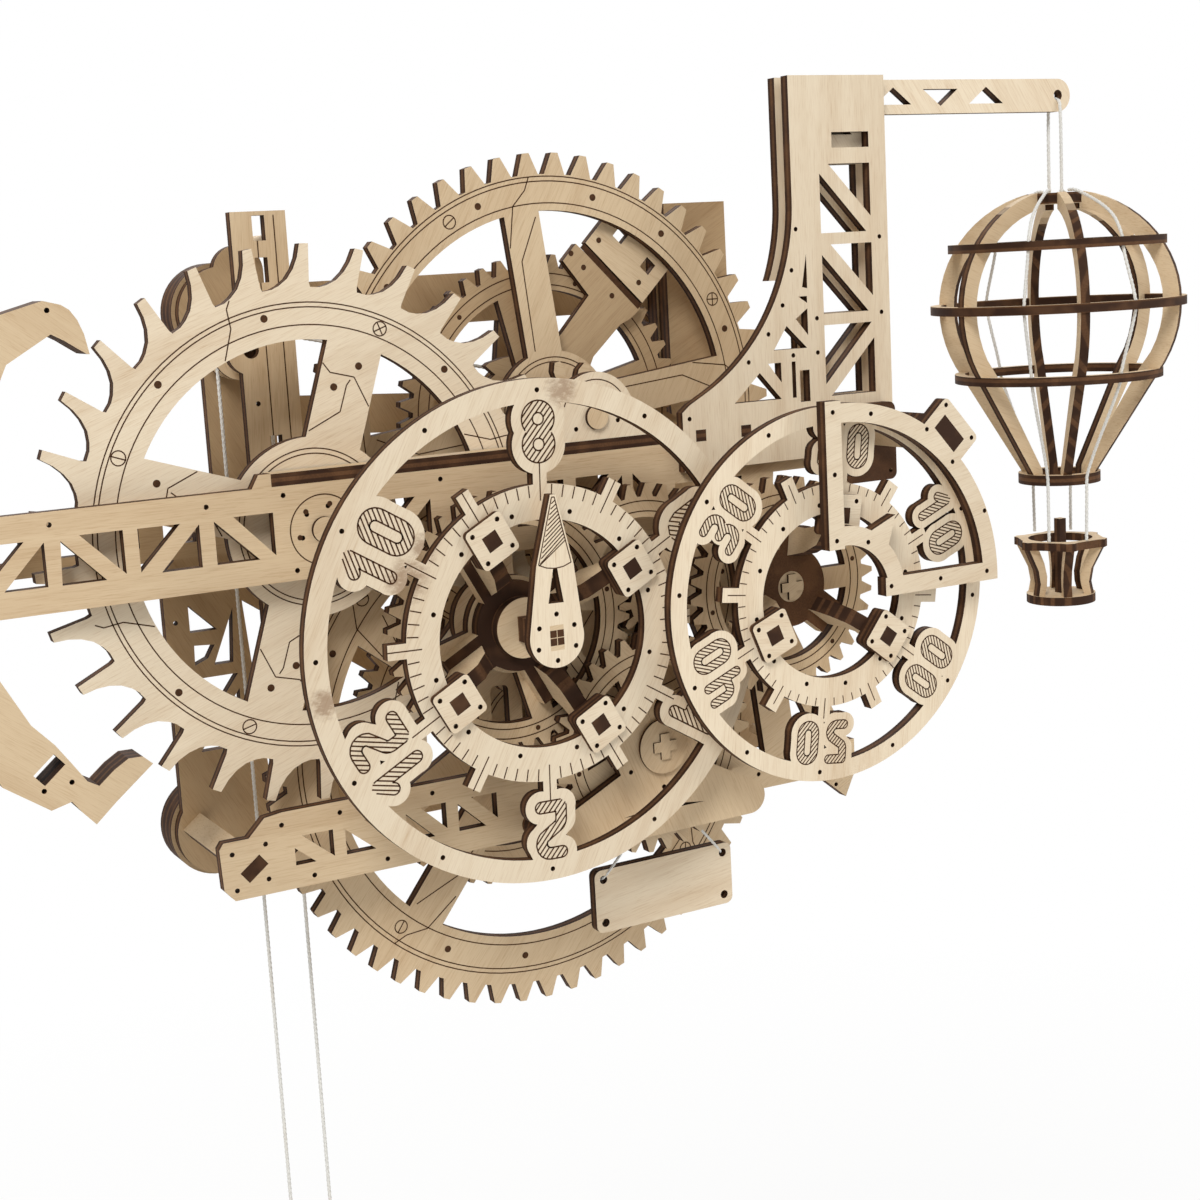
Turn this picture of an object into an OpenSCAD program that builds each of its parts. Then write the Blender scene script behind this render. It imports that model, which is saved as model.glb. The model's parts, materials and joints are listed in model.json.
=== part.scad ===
// Wall-hung wooden gear clock of laser-cut plywood, millimetres.
// Every plate is a flat outline in X and Z, extruded along Y. The wall is at Y = 0.
// Outlines are drawn from the middle of the hour dial's face, then moved to the wall.

/* [Plywood] */
// Gap between plates that turn past each other
gap = 0.5; // [0.4:0.05:0.6]
// Radial clearance of a turning axle in its bore
run = 0.08; // [0.05:0.01:0.1]
// Diameter of the small rivet holes
dot_d = 1.2; // [0.8:0.1:1.6]

/* [Hour dial] */
// Outer radius of the hour dial
hour_r = 60; // [57:0.5:60]
// Outer radius of the tick ring of the hour dial
hour_tick_r = 35.5; // [34:0.5:36]
// Inner radius of the tick ring of the hour dial
hour_eye_r = 27.2; // [26.5:0.1:28]
// Half length of the pointer hub's slot
pointer_slot = 3; // [2:0.5:3.5]

/* [Minute dial] */
// Outer radius of the minute dial
minute_r = 47.5; // [46:0.5:47.5]
// Outer radius of the tick ring of the minute dial
minute_tick_r = 28.3; // [27.5:0.1:29]
// Inner radius of the tick ring of the minute dial
minute_eye_r = 21; // [20.5:0.1:21.5]
// Width of the outer ring of both dials
rim_w = 5; // [4.5:0.1:5.5]

/* [Escapement] */
// Tip radius of the escape wheel
escape_r = 66.3; // [65.5:0.1:66.5]
// Depth of the escape teeth
escape_depth = 10; // [9:0.5:11]
// Clearance of the two pallets over the tooth tips at mid swing
pallet_clear = 0.4; // [0.3:0.1:0.6]
// Length of the pendulum from its pivot to the middle of the bob
pendulum_l = 248; // [230:1:260]
// Radius of the pendulum bob
bob_r = 24; // [20:1:28]

/* [Frame] */
// Height of the upper beam
beam_h = 22.4; // [21.5:0.1:22.6]
// Diameter of the two wall screw holes
screw_d = 4.5; // [4:0.1:5]
// Distance between the two wall screw holes
screw_pitch = 132; // [128:1:136]

/* [Weight drive] */
// Radius of the cord drum
drum_r = 9; // [8:0.5:9.5]
// Diameter of the drive cord
cord_d = 1; // [0.8:0.1:1.2]
// Radius of the drive weight
weight_r = 15; // [12:0.5:16]
// Height of the drive weight
weight_h = 62; // [50:1:70]

/* [Balloon] */
// Radius of the balloon at its equator
balloon_r = 35.3; // [33:0.1:38]
// Thickness of the balloon's ribs
rib_t = 2.5; // [2:0.1:3]
// Radius of the basket's floor
basket_r = 9.9; // [9:0.1:11]

/* [Hidden] */
$fn = 48;

// Thickness of every plywood sheet, and of the sector
ply = 3;
sector_t = 3.5;
// Thickness of the small square tiles
tile_t = 1.6;
// Depth of each layer behind the hour dial's face
y_minute = -8;
y_pointer = -6.2;
y_sector = y_minute - tile_t - gap - sector_t - 0.4;
y_bracket = 10;
y_star = 13.5;
y_first = 13.5;
y_hour_wheel = 17;
y_idler = 20.5;
y_tower = 24;
y_front = 27;
y_escape = 33;
y_centre = 37;
y_drive = 41;
y_top = 49;
y_second = 55;
y_click = 58.5;
y_drum = 61.5;
y_rear = 72;
y_wall = 84;
y_rod = 50;
y_cord = 65.5;
// Middle of the two wall screws, seen from the hour dial's middle
x_mount = 18;
z_mount = 78;

// Plan of the axles, as [X, Z]
hour_c = [0, 0];
minute_c = [77.4, 0];
idler_c = [39.25, 0];
centre_c = [36.2, -35.2];
escape_c = [-42.65, 27.3];
top_c = [31.8, 47.2];
drive_c = [15.6, -33.8];
anchor_c = [-136.7, 27.3];
guide_c = [-47.1, 69];
sling_z = -190;
balloon_c = [186, 28.5];
balloon_z = 66;
hang_z = 124.5;

peg_c = [42.3, -52.5];
strand_z = 55;
groove_r = 4.9;
strand_r = groove_r + cord_d / 2;

// Tooth counts
n_hour = 40; n_idler_p = 10;
n_idler = 36; n_minute_p = 12;
n_minute = 34; n_centre = 34;
n_slow = 32; n_drive_p = 8;
n_drive = 60; n_top_p = 10;
n_top = 50; n_escape_p = 10;
n_wind = 48; n_transfer = 52;
n_ratchet = 12; n_escape = 30;
// Angle of one escape tooth at rest, with a pallet about to enter the gap before it
escape_a = 3.55;

// Radii of the axles
axle_r = 3;
main_r = 4;

function dist(a, b) = norm(b - a);
function toward(a, b) = atan2(b[1] - a[1], b[0] - a[0]);
function module_of(a, b, na, nb) = 2 * dist(a, b) / (na + nb);
function pol(c, r, a) = c + r * [cos(a), sin(a)];
// Turns gear B so that it meshes with gear A, which has a tooth at angle pa
function mesh(pa, na, nb, th) = th + 180 + 360 / nb * (0.5 - (pa - th) * na / 360);

m_drive = module_of(drive_c, top_c, n_drive, n_top_p);
m_top = module_of(top_c, escape_c, n_top, n_escape_p);
m_slow = module_of(drive_c, centre_c, n_drive_p, n_slow);
m_first = module_of(centre_c, minute_c, n_centre, n_minute);
m_idler = module_of(minute_c, idler_c, n_minute_p, n_idler);
m_hour = module_of(idler_c, hour_c, n_idler_p, n_hour);
m_wind = module_of(top_c, drive_c, n_wind, n_transfer);

p_top_p = mesh(0, n_drive, n_top_p, toward(drive_c, top_c));
p_escape_p = mesh(0, n_top, n_escape_p, toward(top_c, escape_c));
p_slow = mesh(0, n_drive_p, n_slow, toward(drive_c, centre_c));
p_minute = mesh(0, n_centre, n_minute, toward(centre_c, minute_c));
p_idler = mesh(0, n_minute_p, n_idler, toward(minute_c, idler_c));
p_hour = mesh(0, n_idler_p, n_hour, toward(idler_c, hour_c));
p_transfer = mesh(0, n_wind, n_transfer, toward(top_c, drive_c));

// Six points of each tooth: root, pitch and tip on both sides
function teeth(n, m, ph, thin, tip, rt) = [
    for (i = [0 : n - 1]) let (a = ph + 360 * i / n, rp = n * m / 2, ra = rp + 0.9 * m,
        rr = rp - 1.2 * m, hp = 90 / n - thin / rp * 28.65, ht = tip * m / ra * 57.3,
        hr = rt == 0 ? hp : rt * m / rr * 57.3)
    for (q = [[rr, -hr], [rp, -hp], [ra, -ht], [ra, ht], [rp, hp], [rr, hr]])
    q[0] * [cos(a + q[1]), sin(a + q[1])]
];
function wheel_pts(n, m, ph, thin = 0.3) = teeth(n, m, ph, thin, 0.38, 1.15);
function pinion_pts(n, m, ph, thin = 0.3) = teeth(n, m, ph, thin, 0.34, 0);
// Escape tooth: straight face on the clockwise side, hollow back on the other side
function escape_pts(n, r, d, ph) = [
    for (i = [0 : n - 1]) let (a = ph + 360 * i / n)
    for (q = [[r - d, -1.2], [r - d * 0.9, -0.95], [r, -0.95], [r, 0.95], [r - d * 0.32, 1.6],
        [r - d * 0.58, 2.7], [r - d * 0.8, 4.4], [r - d * 0.94, 6.6], [r - d, 8.4]])
    q[0] * [cos(a + q[1]), sin(a + q[1])]
];
function arc_pts(c, r, a0, a1, n) = [for (i = [0 : n]) pol(c, r, a0 + (a1 - a0) * i / n)];

module place() {
    translate([-x_mount, -y_wall, -z_mount]) children();
}
module plate(y, t = ply) {
    translate([0, y + t, 0]) rotate([90, 0, 0]) linear_extrude(t) children();
}
module at(c, a = 0) {
    translate(c) rotate(a) children();
}
module rod(c, r, y0, y1) {
    translate([c[0], y1, c[1]]) rotate([90, 0, 0]) cylinder(r = r, h = y1 - y0);
}
module ring(r1, r0) {
    difference() {
        circle(r1);
        circle(r0);
    }
}
module bar(p, q, w) {
    translate(p) rotate(atan2(q[1] - p[1], q[0] - p[0]))
        translate([0, -w / 2]) square([norm(q - p), w]);
    translate(p) circle(w / 2);
    translate(q) circle(w / 2);
}
// Rectangle with rounded corners about its own middle
module pill(w, h, r) {
    square([w - 2 * r, h], center = true);
    square([w, h - 2 * r], center = true);
    for (i = [-1, 1], j = [-1, 1]) translate([i * (w / 2 - r), j * (h / 2 - r)]) circle(r);
}
module dots(pts) {
    for (p = pts) translate(p) circle(d = dot_d, $fn = 16);
}
module dot_ring(n, r, a0) {
    for (i = [0 : n - 1]) translate(pol([0, 0], r, a0 + 360 * i / n)) circle(d = dot_d, $fn = 16);
}
module spokes(n, a0, w, r) {
    for (i = [0 : n - 1]) rotate(a0 + 360 * i / n) translate([0, -w / 2]) square([r, w]);
}
// Toothed rim with spokes and hub round a bore
module spoked(pts, rim, hub, n, a0, w, bore) {
    difference() {
        union() {
            difference() {
                polygon(pts);
                circle(rim);
            }
            circle(hub);
            spokes(n, a0, w, rim + 1);
        }
        circle(bore);
    }
}
module truss(cells) {
    for (c = cells) polygon(c);
}

// Frame
beam_z0 = 16.1;
beam_z1 = beam_z0 + beam_h;
beam_wins = [
    [[-103.9, 31.8], [-94.5, 21.9], [-104.4, 21.9]], [[-99.7, 32.6], [-90, 32.6], [-90, 22.7]],
    [[-86.7, 32.5], [-76.9, 32.5], [-86.7, 22.6]], [[-82, 22], [-72.5, 22], [-72.5, 31.9]],
    [[-69, 32.1], [-69, 22.1], [-58.8, 22.1]], [[-64.3, 32.6], [-54.8, 32.6], [-54.8, 22.6]],
    [[-121.5, 32.5], [-111.8, 32.5], [-121.5, 22.6]], [[-117, 22], [-107.5, 22], [-107.5, 31.9]],
    [[-29, 32.5], [-19, 32.5], [-29, 22.5]], [[-24.5, 22], [-15, 22], [-15, 31.6]],
    [[8, 22], [8, 32], [18, 22]], [[12, 32.5], [21.5, 32.5], [21.5, 23]],
    [[25, 32.5], [34.6, 32.5], [25, 22.8]], [[29, 22], [38.4, 22], [38.4, 31.8]],
    [[41.5, 32], [41.5, 22], [51, 22]]
];
module upper_beam() {
    color([0.86, 0.74, 0.55]) place() plate(y_front) difference() {
        union() {
            translate([-136.7, beam_z0]) square([190.7, beam_h]);
            translate(anchor_c) circle(beam_h / 2);
            polygon([[-54.6, beam_z1 - 1], [-54.6, 41.6], [-57.6, 41.6], [-60, beam_z1 - 1]]);
        }
        truss(beam_wins);
        translate(escape_c) circle(axle_r + run);
        translate(anchor_c) circle(axle_r + run);
        dots([[-52, 36.3], [-50, 18.4], [-106, 35.6], [-70.5, 35.6], [-12, 36], [-12, 18.6]]);
        translate(escape_c) dot_ring(6, 5.6, 15);
    }
}
low_wins = [
    [[-54.3, -45.1], [-46.5, -45.1], [-46.5, -51.7]], [[-56.4, -47.8], [-51.3, -52.1], [-56.4, -52.1]],
    [[-43.4, -45.7], [-35.8, -52], [-43.4, -52]], [[-38.4, -44.3], [-30.6, -44.3], [-30.6, -50.8]],
    [[-27.4, -45], [-20, -52], [-27.4, -52]], [[-23.6, -44], [-16.6, -44], [-16.6, -50.6]],
    [[-13.4, -45], [-6, -52], [-13.4, -52]], [[-9.6, -44], [-2.6, -44], [-2.6, -50.6]]
];
low_z0 = -57.7;
low_z1 = -38.5;
module lower_beam() {
    color([0.86, 0.74, 0.55]) place() plate(y_front) difference() {
        union() {
            polygon([[-74.4, -54.8], [-71.9, low_z0], [30, low_z0], [30, low_z1], [-58.8, low_z1],
                [-63.3, -39.1], [-67.5, -43.3], [-73.7, -43.3], [-74.8, -44.8]]);
            translate(drive_c) circle(8.6);
        }
        truss(low_wins);
        translate(drive_c) circle(axle_r + run);
        translate([-66.7, -50.8]) rotate(-52.5) square([3.4, 6.2], center = true);
        dots([[-71.8, -46.4], [-63.5, -45.4], [-63.4, -54], [-71.3, -55.3], [-59.2, -41.6],
            [-52, -55.4], [-44.4, -41.3], [-33, -55.2], [-20, -41], [6, -54.6]]);
    }
}
module movement_plate() {
    color([0.84, 0.72, 0.53]) place() {
        plate(y_front) difference() {
            union() {
                translate([30, low_z0]) square([72, 8.5]);
                polygon([[96, low_z0], [104.7, -65], [108.1, -58.2], [108.1, -49], [96, -49]]);
                translate([30, -50]) square([13.5, 50 + beam_z0]);
                bar(idler_c, minute_c, 12);
                bar([84, -52], minute_c, 10);
                bar([103, -52], [77.4, 0], 8);
                bar(minute_c, [80, 33], 10);
                translate([54, 28]) square([68.5, beam_z1 - 28]);
                translate(minute_c) circle(13);
                translate(idler_c) circle(11);
                translate(centre_c) circle(11);
            }
            for (c = [idler_c, centre_c]) translate(c) circle(axle_r + run);
            translate(minute_c) circle(main_r + run);
            translate([10, -70]) square([20, 100]);
            dots([[101.5, -61], [97, -53], [60, -53.5], [76, -53.5], [64, 36], [98, 36]]);
        }
        rod(peg_c, 1, 21, y_front);
    }
}
module hour_strut() {
    color([0.84, 0.72, 0.53]) place() plate(y_front) difference() {
        union() {
            translate([-6, low_z1]) square([12, beam_z0 - low_z1]);
            circle(11);
        }
        circle(main_r);
        translate([0, -25]) pill(5, 16, 1.5);
    }
}
module beam_shelf() {
    color([0.84, 0.72, 0.53]) place() {
        translate([-54.6, y_front, beam_z1]) cube([78.6, 5.4, ply]);
        translate([24, y_front, beam_z1]) cube([98.5, 9, ply]);
        for (x = [59.2, 73.1]) translate([x, y_tower, beam_z1]) cube([3.1, ply, ply]);
    }
}
module top_bearing() {
    color([0.86, 0.74, 0.55]) place() plate(y_front) difference() {
        union() {
            translate([20.5, beam_z1 + ply]) square([22.6, 4]);
            translate(top_c) circle(11.3);
            polygon([[25, 51], [22, 51], [12, beam_z1 + ply - 1], [25, beam_z1 + ply - 1]]);
            polygon([[38, beam_z1 + ply - 1], [52, beam_z1 + ply - 1], [41.6, 51], [38, 51]]);
        }
        translate([0, beam_z1 + ply - 20]) square([60, 20]);
        translate(top_c) circle(axle_r + run);
        translate(top_c) dot_ring(5, 6.4, 60);
    }
}
// Bracket in front of the centre axle, with two feet on the frame
foot_l = [7, -54];
foot_r = [62, -53.4];
module arbor_bracket() {
    color([0.83, 0.71, 0.52]) place() {
        plate(y_bracket) difference() {
            union() {
                translate(centre_c) circle(13.5);
                bar(foot_l, [36.2, -40], 9);
                bar(foot_r, [36.2, -40], 9);
                polygon([foot_l - [0, 4.5], foot_r - [0, 4.5], [36.2, -40]]);
            }
            translate(centre_c) circle(axle_r + run);
            translate(centre_c) dot_ring(6, 10.8, 30);
            polygon([[24, -52], [48, -52], [36.2, -50.5]]);
        }
        for (f = [foot_l, foot_r]) rod(f, 3, y_bracket + ply, y_front);
    }
}
// Tower of the right side: hollow curve on the left, trussed post on the right
arc_c = [37.5, 98.6];
arc_r = 54.2;
tower_x = 122.5;
tower_z = hang_z + 5.5;
tower_wins = [
    [[100.7, 84], [115.4, 68.6], [100.7, 68.6]], [[100.7, 65.6], [116.3, 65.6], [100.7, 50]],
    [[117, 61.4], [117, 46.8], [102.4, 46.8]], [[103.6, 86.6], [117, 86.6], [117, 72.6]],
    [[100.7, 105], [115.4, 89.6], [100.7, 89.6]], [[103.6, 107.4], [117, 107.4], [117, 93.6]],
    [[88.6, 66.2], [84.3, 60.1], [94.9, 60.1]], [[95.4, 63.4], [95.4, 70.4], [91.6, 67.8]],
    [[95.6, 75.6], [95.6, 84.6], [94, 76]], [[92.6, 73.6], [95.4, 71.8], [95.4, 73.6]],
    [[86.4, 56.8], [82.3, 56.8], [86.4, 51.6]], [[79.6, 54.6], [71.5, 47.3], [86.2, 47.3]],
    [[89.8, 56.8], [89.8, 47.3], [91, 47.3], [91, 56.8]]
];
module tower_outline(left, right) {
    polygon(concat([[left, 31], [left, 46.2], [57.7, 48]], arc_pts(arc_c, arc_r, -62, 0, 24),
        [[91.7, tower_z], [right, tower_z], [right, 31]]));
}
module tower_front() {
    color([0.86, 0.74, 0.55]) place() plate(y_tower) difference() {
        tower_outline(55.4, tower_x);
        truss(tower_wins);
        translate([92.3, 46]) square([3.1, 8.3]);
        for (x = [59.2, 73.1]) translate([x, beam_z1]) square([3.1, ply]);
        translate([105, hang_z - 13]) square([12, 4]);
        dots([[57.5, 44.5], [92.6, 91], [90.8, 80.5], [87.6, 71.6], [82.8, 64.4], [76.3, 57.6],
            [98.4, 67.6], [98.3, 58.6], [119.7, 68], [119.7, 88], [90.4, 58.4]]);
    }
}
module tower_rear() {
    color([0.7, 0.56, 0.38]) place() plate(y_front + ply) difference() {
        tower_outline(88, tower_x + 1.5);
        truss([for (i = [0 : 5]) tower_wins[i]]);
        translate([50, 30]) square([46, 48]);
        translate([50, 30]) square([80, beam_z1 + ply - 30]);
    }
}
module tower_arm() {
    color([0.84, 0.72, 0.53]) place() plate(y_front) difference() {
        union() {
            bar([100, hang_z], [balloon_c[0], hang_z], 9);
            translate([96, hang_z - 13.5]) square([22, 18]);
        }
        translate([balloon_c[0], hang_z]) circle(1.5);
        translate([0, hang_z]) truss([[[104, -9.5], [114, -9.5], [104, -2.5]], [[122, -2], [134, -2],
            [128, 2.5]], [[138, 2], [144, -2.5], [150, 2]], [[154, -2], [166, -2], [160, 2.5]]]);
    }
}
module ply_stack() {
    color([0.5, 0.36, 0.22]) place() for (i = [0 : 3])
        plate(60 + 3 * i) translate([74.5 + (i % 2) * 0.6, 53]) square([19.5 - (i % 2) * 0.6, 47]);
}
// Column behind the escape wheel: bearing of its axle and of the guide pulley
module left_column() {
    color([0.82, 0.7, 0.51]) place() plate(y_second) difference() {
        union() {
            translate([-49.6, -60]) square([14, 162]);
            translate(guide_c) circle(6);
            translate(escape_c) circle(9);
        }
        translate(escape_c) circle(axle_r + run);
        for (z = [98, 88, 45, 6, -44]) translate([-42.6, z]) square([3.2, 6], center = true);
        translate(guide_c) circle(2);
        dots([[-42.6, 76], [-46.4, 56], [-42.6, -10], [-42.6, -30], [-46.5, -56]]);
    }
}
module rear_beam() {
    color([0.8, 0.68, 0.49]) place() plate(y_second + ply) difference() {
        union() {
            translate([-136.7, 20]) square([100.7, 14.6]);
            translate(anchor_c) circle(8.5);
        }
        translate(anchor_c) circle(axle_r + run);
        for (x = [-124, -110, -96, -82, -68]) translate([x, 27.3]) square([8, 7], center = true);
    }
}
disc_u = [-47.5, 78];
disc_l = [-60, -53];
disc_r = [84, 78];
disc_b = [96, -53];
screws = [[x_mount - screw_pitch / 2, z_mount], [x_mount + screw_pitch / 2, z_mount]];
module rear_frame() {
    color([0.8, 0.68, 0.49]) place() plate(y_rear) difference() {
        union() {
            polygon([[-69.7, 9.5], [-52, 12], [-42, 18], [-42, 78], [-54, 78], [-54, 30],
                [-69.7, 14]]);
            polygon([[-69.7, 14], [-69.7, -58.8], [-60, -65], [-46, -58], [-46, -40], [-50, 14]]);
            bar(disc_u, disc_r, 13);
            bar(disc_l, disc_b, 13);
            bar(disc_r, disc_b, 12);
            bar(top_c, [36, 78], 13);
            bar(top_c, drive_c, 13);
            bar(drive_c, [15.6, -53], 13);
            bar([-46, 10], drive_c, 11);
            bar(top_c, [-47, 52], 10);
            bar(top_c, [86, 20], 10);
            bar([-42.8, 20], [-42.8, 88], 13);
            for (c = [disc_u, disc_l, disc_r, disc_b, top_c, drive_c]) translate(c) circle(11.5);
        }
        for (c = [top_c, drive_c]) translate(c) circle(axle_r + run);
        for (c = screws) translate(c) circle(d = screw_d);
        translate(guide_c) circle(2);
        truss([[[-63.5, 6], [-56.5, -1], [-63.5, -1]], [[-62.8, -4.4], [-57.5, -4.8], [-59.5, -8.1],
            [-63, -9.5]], [[-63.5, -13], [-52, -13], [-63.5, -28]], [[-52, -17], [-52, -32], [-63.5, -32]],
            [[-52, 4], [-53, -10], [-58, -10]]]);
        dots([[-67, 2], [-67, -20], [-60, 80], [-33, 78], [0, 78], [60, 78], [0, -53], [50, -53]]);
    }
}
module wall_spacers() {
    color([0.8, 0.68, 0.49]) place() difference() {
        for (c = [disc_u, disc_l, disc_r, disc_b]) for (y = [75, 78, 81]) rod(c, 12.5, y, y + ply);
        for (c = screws) rod(c, screw_d / 2, 70, 90);
    }
}
// Posts that hold the plates apart
post_ll = [-66.7, -50.8];
module spacer_posts() {
    color([0.6, 0.46, 0.3]) place() {
        translate([0, y_front, 0]) translate([-66.7, 0, -50.8]) rotate([0, 52.5, 0])
            translate([-1.65, 0, -3]) cube([3.3, 45, 6]);
        for (c = [[114, 34.5], [100, -53.5]]) rod(c, 3.5, y_front + ply, y_rear);
        for (c = [[-38.4, 94], [-38.4, -20]]) rod(c, 2.5, y_second + ply, y_rear);
        rod([-46.5, 27.3], 2.5, y_second + 2 * ply, y_rear);
        rod(guide_c, 2, y_second + ply, y_rear + ply);
        rod([guide_c[0] + strand_r, 56.6], 1.5, y_second + ply, 66.5);
    }
}
// Fixed post of the hour hand: round behind, square in front, with a retaining disc
module hour_post() {
    color([0.66, 0.52, 0.35]) place() {
        rod(hour_c, main_r, y_star, y_front + ply);
        plate(10.4, y_star - 10.4) circle(7.4);
        plate(y_pointer, 10.4 - y_pointer) square([3.6, 2 * pointer_slot], center = true);
    }
}
module hour_pointer() {
    color([0.9, 0.79, 0.6]) place() plate(y_pointer) rotate(-1.7) difference() {
        union() {
            circle(7.1);
            polygon([[7.05, 0.8], [4.9, 17], [0.7, 33.5], [-0.7, 33.5], [-4.9, 17], [-7.05, 0.8]]);
        }
        rotate(1.7) square([3.6, 2 * pointer_slot], center = true);
        polygon([[-2, 8.2], [2, 8.2], [0.5, 16.5], [-0.5, 16.5]]);
        for (q = [[4.6, 2.6], [4.9, -2.4], [0, -5.4], [-4.9, -2.4], [-4.6, 2.6], [0, 5.6]])
            translate(q) circle(d = dot_d, $fn = 16);
    }
}
// Fixed frame of the minute reading, in front of the minute dial
tile_c = [110.9, 37.9];
module sector_frame() {
    color([0.9, 0.79, 0.6]) place() plate(y_sector, sector_t) difference() {
        union() {
            difference() {
                translate(minute_c) circle(48.3);
                translate(minute_c) circle(43.6);
                translate([0, -60]) square([72.7, 120]);
                translate([72, -60]) square([60, 58.8]);
            }
            difference() {
                translate(minute_c) circle(18);
                translate(minute_c) circle(13.2);
                translate([0, -60]) square([72.7, 120]);
                translate([60, -60]) square([60, 58.8]);
            }
            translate([72.7, 12.4]) square([4.7, 36.6]);
            translate([89.6, -1.2]) square([35, 4.7]);
            translate(tile_c) rotate(-48.5) pill(15, 11.5, 1.4);
            polygon([[86, 11], [90.4, 10.6], [93.2, 19.2], [84.6, 15.6]]);
        }
        translate(tile_c) rotate(-48.5) square([9, 4.6], center = true);
        translate(tile_c) rotate(-48.5) dots([for (i = [-1, 1], j = [-1, 1]) [6 * i, 4.2 * j]]);
        dots([[75, 46.3], [75, 31], [75, 14.6], [84.5, 13.2], [91.3, 1.2], [107, 1.2], [122.2, 1.2],
            [86.5, 45], [121.8, 17]]);
    }
}
// Arm that carries the sector, outside the minute dial's rim
module sector_strut() {
    color([0.66, 0.52, 0.35]) place() {
        plate(y_sector, y_tower - y_sector) translate(tile_c) rotate(-48.5)
            square([9, 4.6], center = true);
        plate(y_tower - ply) difference() {
            translate([112.5, 33.5]) pill(17, 21, 2);
            translate(tile_c) rotate(-48.5) square([9, 4.6], center = true);
            dots([[106, 41.6], [119, 41.6], [106, 25.4], [119, 25.4]]);
        }
    }
}

// Each numeral is cut out with a margin round its strokes; a pair is [from, to] in the numeral's cell
hour_turn = -1.72;
minute_turn = -7.44;
num_a = 2.72;
num_b = 5.78;
num_w = 8.05;
num_side = num_w / 2 - 0.08;
function flip(path) = [for (q = path) [q[0], -q[1]]];
two = [[-num_a, num_b], [1.2, num_b], [2.7, 2.6], [-2.6, -2.4], [-num_a, -num_b], [num_a, -num_b]];
three = [[-num_a, num_b], [0.6, num_b], [2.6, 3], [0.6, 0], [2.6, -3], [0.6, -num_b], [-num_a, -num_b]];
module stroke(path, s) {
    for (q = path) translate(s * q) circle(s * num_w / 2);
    for (i = [1 : len(path) - 1]) let (p = path[i - 1], d = path[i] - p)
        translate(s * p) rotate(atan2(d[1], d[0]))
            translate([0, -s * num_side]) square([s * norm(d), 2 * s * num_side]);
}
module oval(r, h, s) {
    translate([0, s * h]) circle(s * r);
    translate([0, -s * h]) circle(s * r);
    square([2 * s * (r - 0.08), 2 * s * h], center = true);
}
module digit(n, x, y, s) {
    translate([x, y]) {
        if (n == 0) oval(6.75, 3.05, s);
        if (n == 1) stroke([[0, -num_b], [0, num_b], [-2.9, 2.7]], s);
        if (n == 2) stroke(two, s);
        if (n == 3) stroke(three, s);
        if (n == 4) {
            stroke([[2.62, num_b], [2.62, -num_b]], s);
            stroke([[-num_a, num_b], [-num_a, 0.6], [-0.7, -1.4], [1.5, -1.4]], s);
        }
        if (n == 5) stroke(flip(two), s);
        if (n == 6) {
            translate([0, -3.05 * s]) circle(6.75 * s);
            stroke([[-num_a, -3.05], [-num_a, 3], [-1.5, 5], [0.6, 5.7]], s);
        }
        if (n == 8) for (i = [-1, 1]) translate([0, 2.95 * i * s]) circle(6.95 * s);
    }
}
hour_digits = [[8], [1, 0], [1, 2], [2], [4], [6]];
minute_digits = [[2, 0], [3, 0], [4, 0], [5, 0], [0, 0], [1, 0]];
module numeral(digits, y, s, gap) {
    if (len(digits) == 1) digit(digits[0], 0, y, s);
    else for (i = [0, 1]) digit(digits[i], gap * (i - 0.5), y, s);
}
module dial_ring(r1, w, t1, t0) {
    ring(r1, r1 - w);
    ring(t1, t0);
    for (k = [0 : 5]) rotate(60 * k) {
        translate([-1.8, t1 - 1]) square([3.6, 5]);
        rotate(30) translate([-1.8, t1 - 1]) square([3.6, k < 6 ? 5.6 : 5]);
    }
}
hour_tiles_a = 28.4;
minute_tiles_a = 81.6;
hour_tile_r = 27;
minute_tile_r = 20.2;
module hour_dial() {
    color([0.9, 0.79, 0.6]) place() plate(0) difference() {
        union() {
            rotate(hour_turn) {
                dial_ring(hour_r, rim_w + 0.5, hour_tick_r, hour_eye_r);
                intersection() {
                    for (k = [0 : 5]) rotate(60 * k) numeral(hour_digits[k], 47.65, 1, 8.7);
                    circle(hour_r - 2);
                }
            }
            for (k = [0 : 3]) at(pol([0, 0], hour_tile_r, hour_tiles_a + 90 * k), hour_tiles_a + 90 * k)
                pill(10.5, 10.5, 1.2);
        }
        for (k = [0 : 3]) at(pol([0, 0], hour_tile_r, hour_tiles_a + 90 * k), hour_tiles_a + 90 * k)
            square(4, center = true);
        rotate(hour_turn) dot_ring(12, 57.3, 90);
        rotate(hour_turn) dot_ring(12, 29.4, 75);
    }
}
module small_tile() {
    difference() {
        pill(10.5, 10.5, 1.2);
        square(4, center = true);
        dots([for (i = [-1, 1], j = [-1, 1]) [3.7 * i, 3.7 * j]]);
    }
}
module hour_tiles() {
    color([0.9, 0.79, 0.6]) place() plate(-tile_t, tile_t)
        for (k = [0 : 3]) at(pol([0, 0], hour_tile_r, hour_tiles_a + 90 * k), hour_tiles_a + 90 * k)
            small_tile();
}
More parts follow.
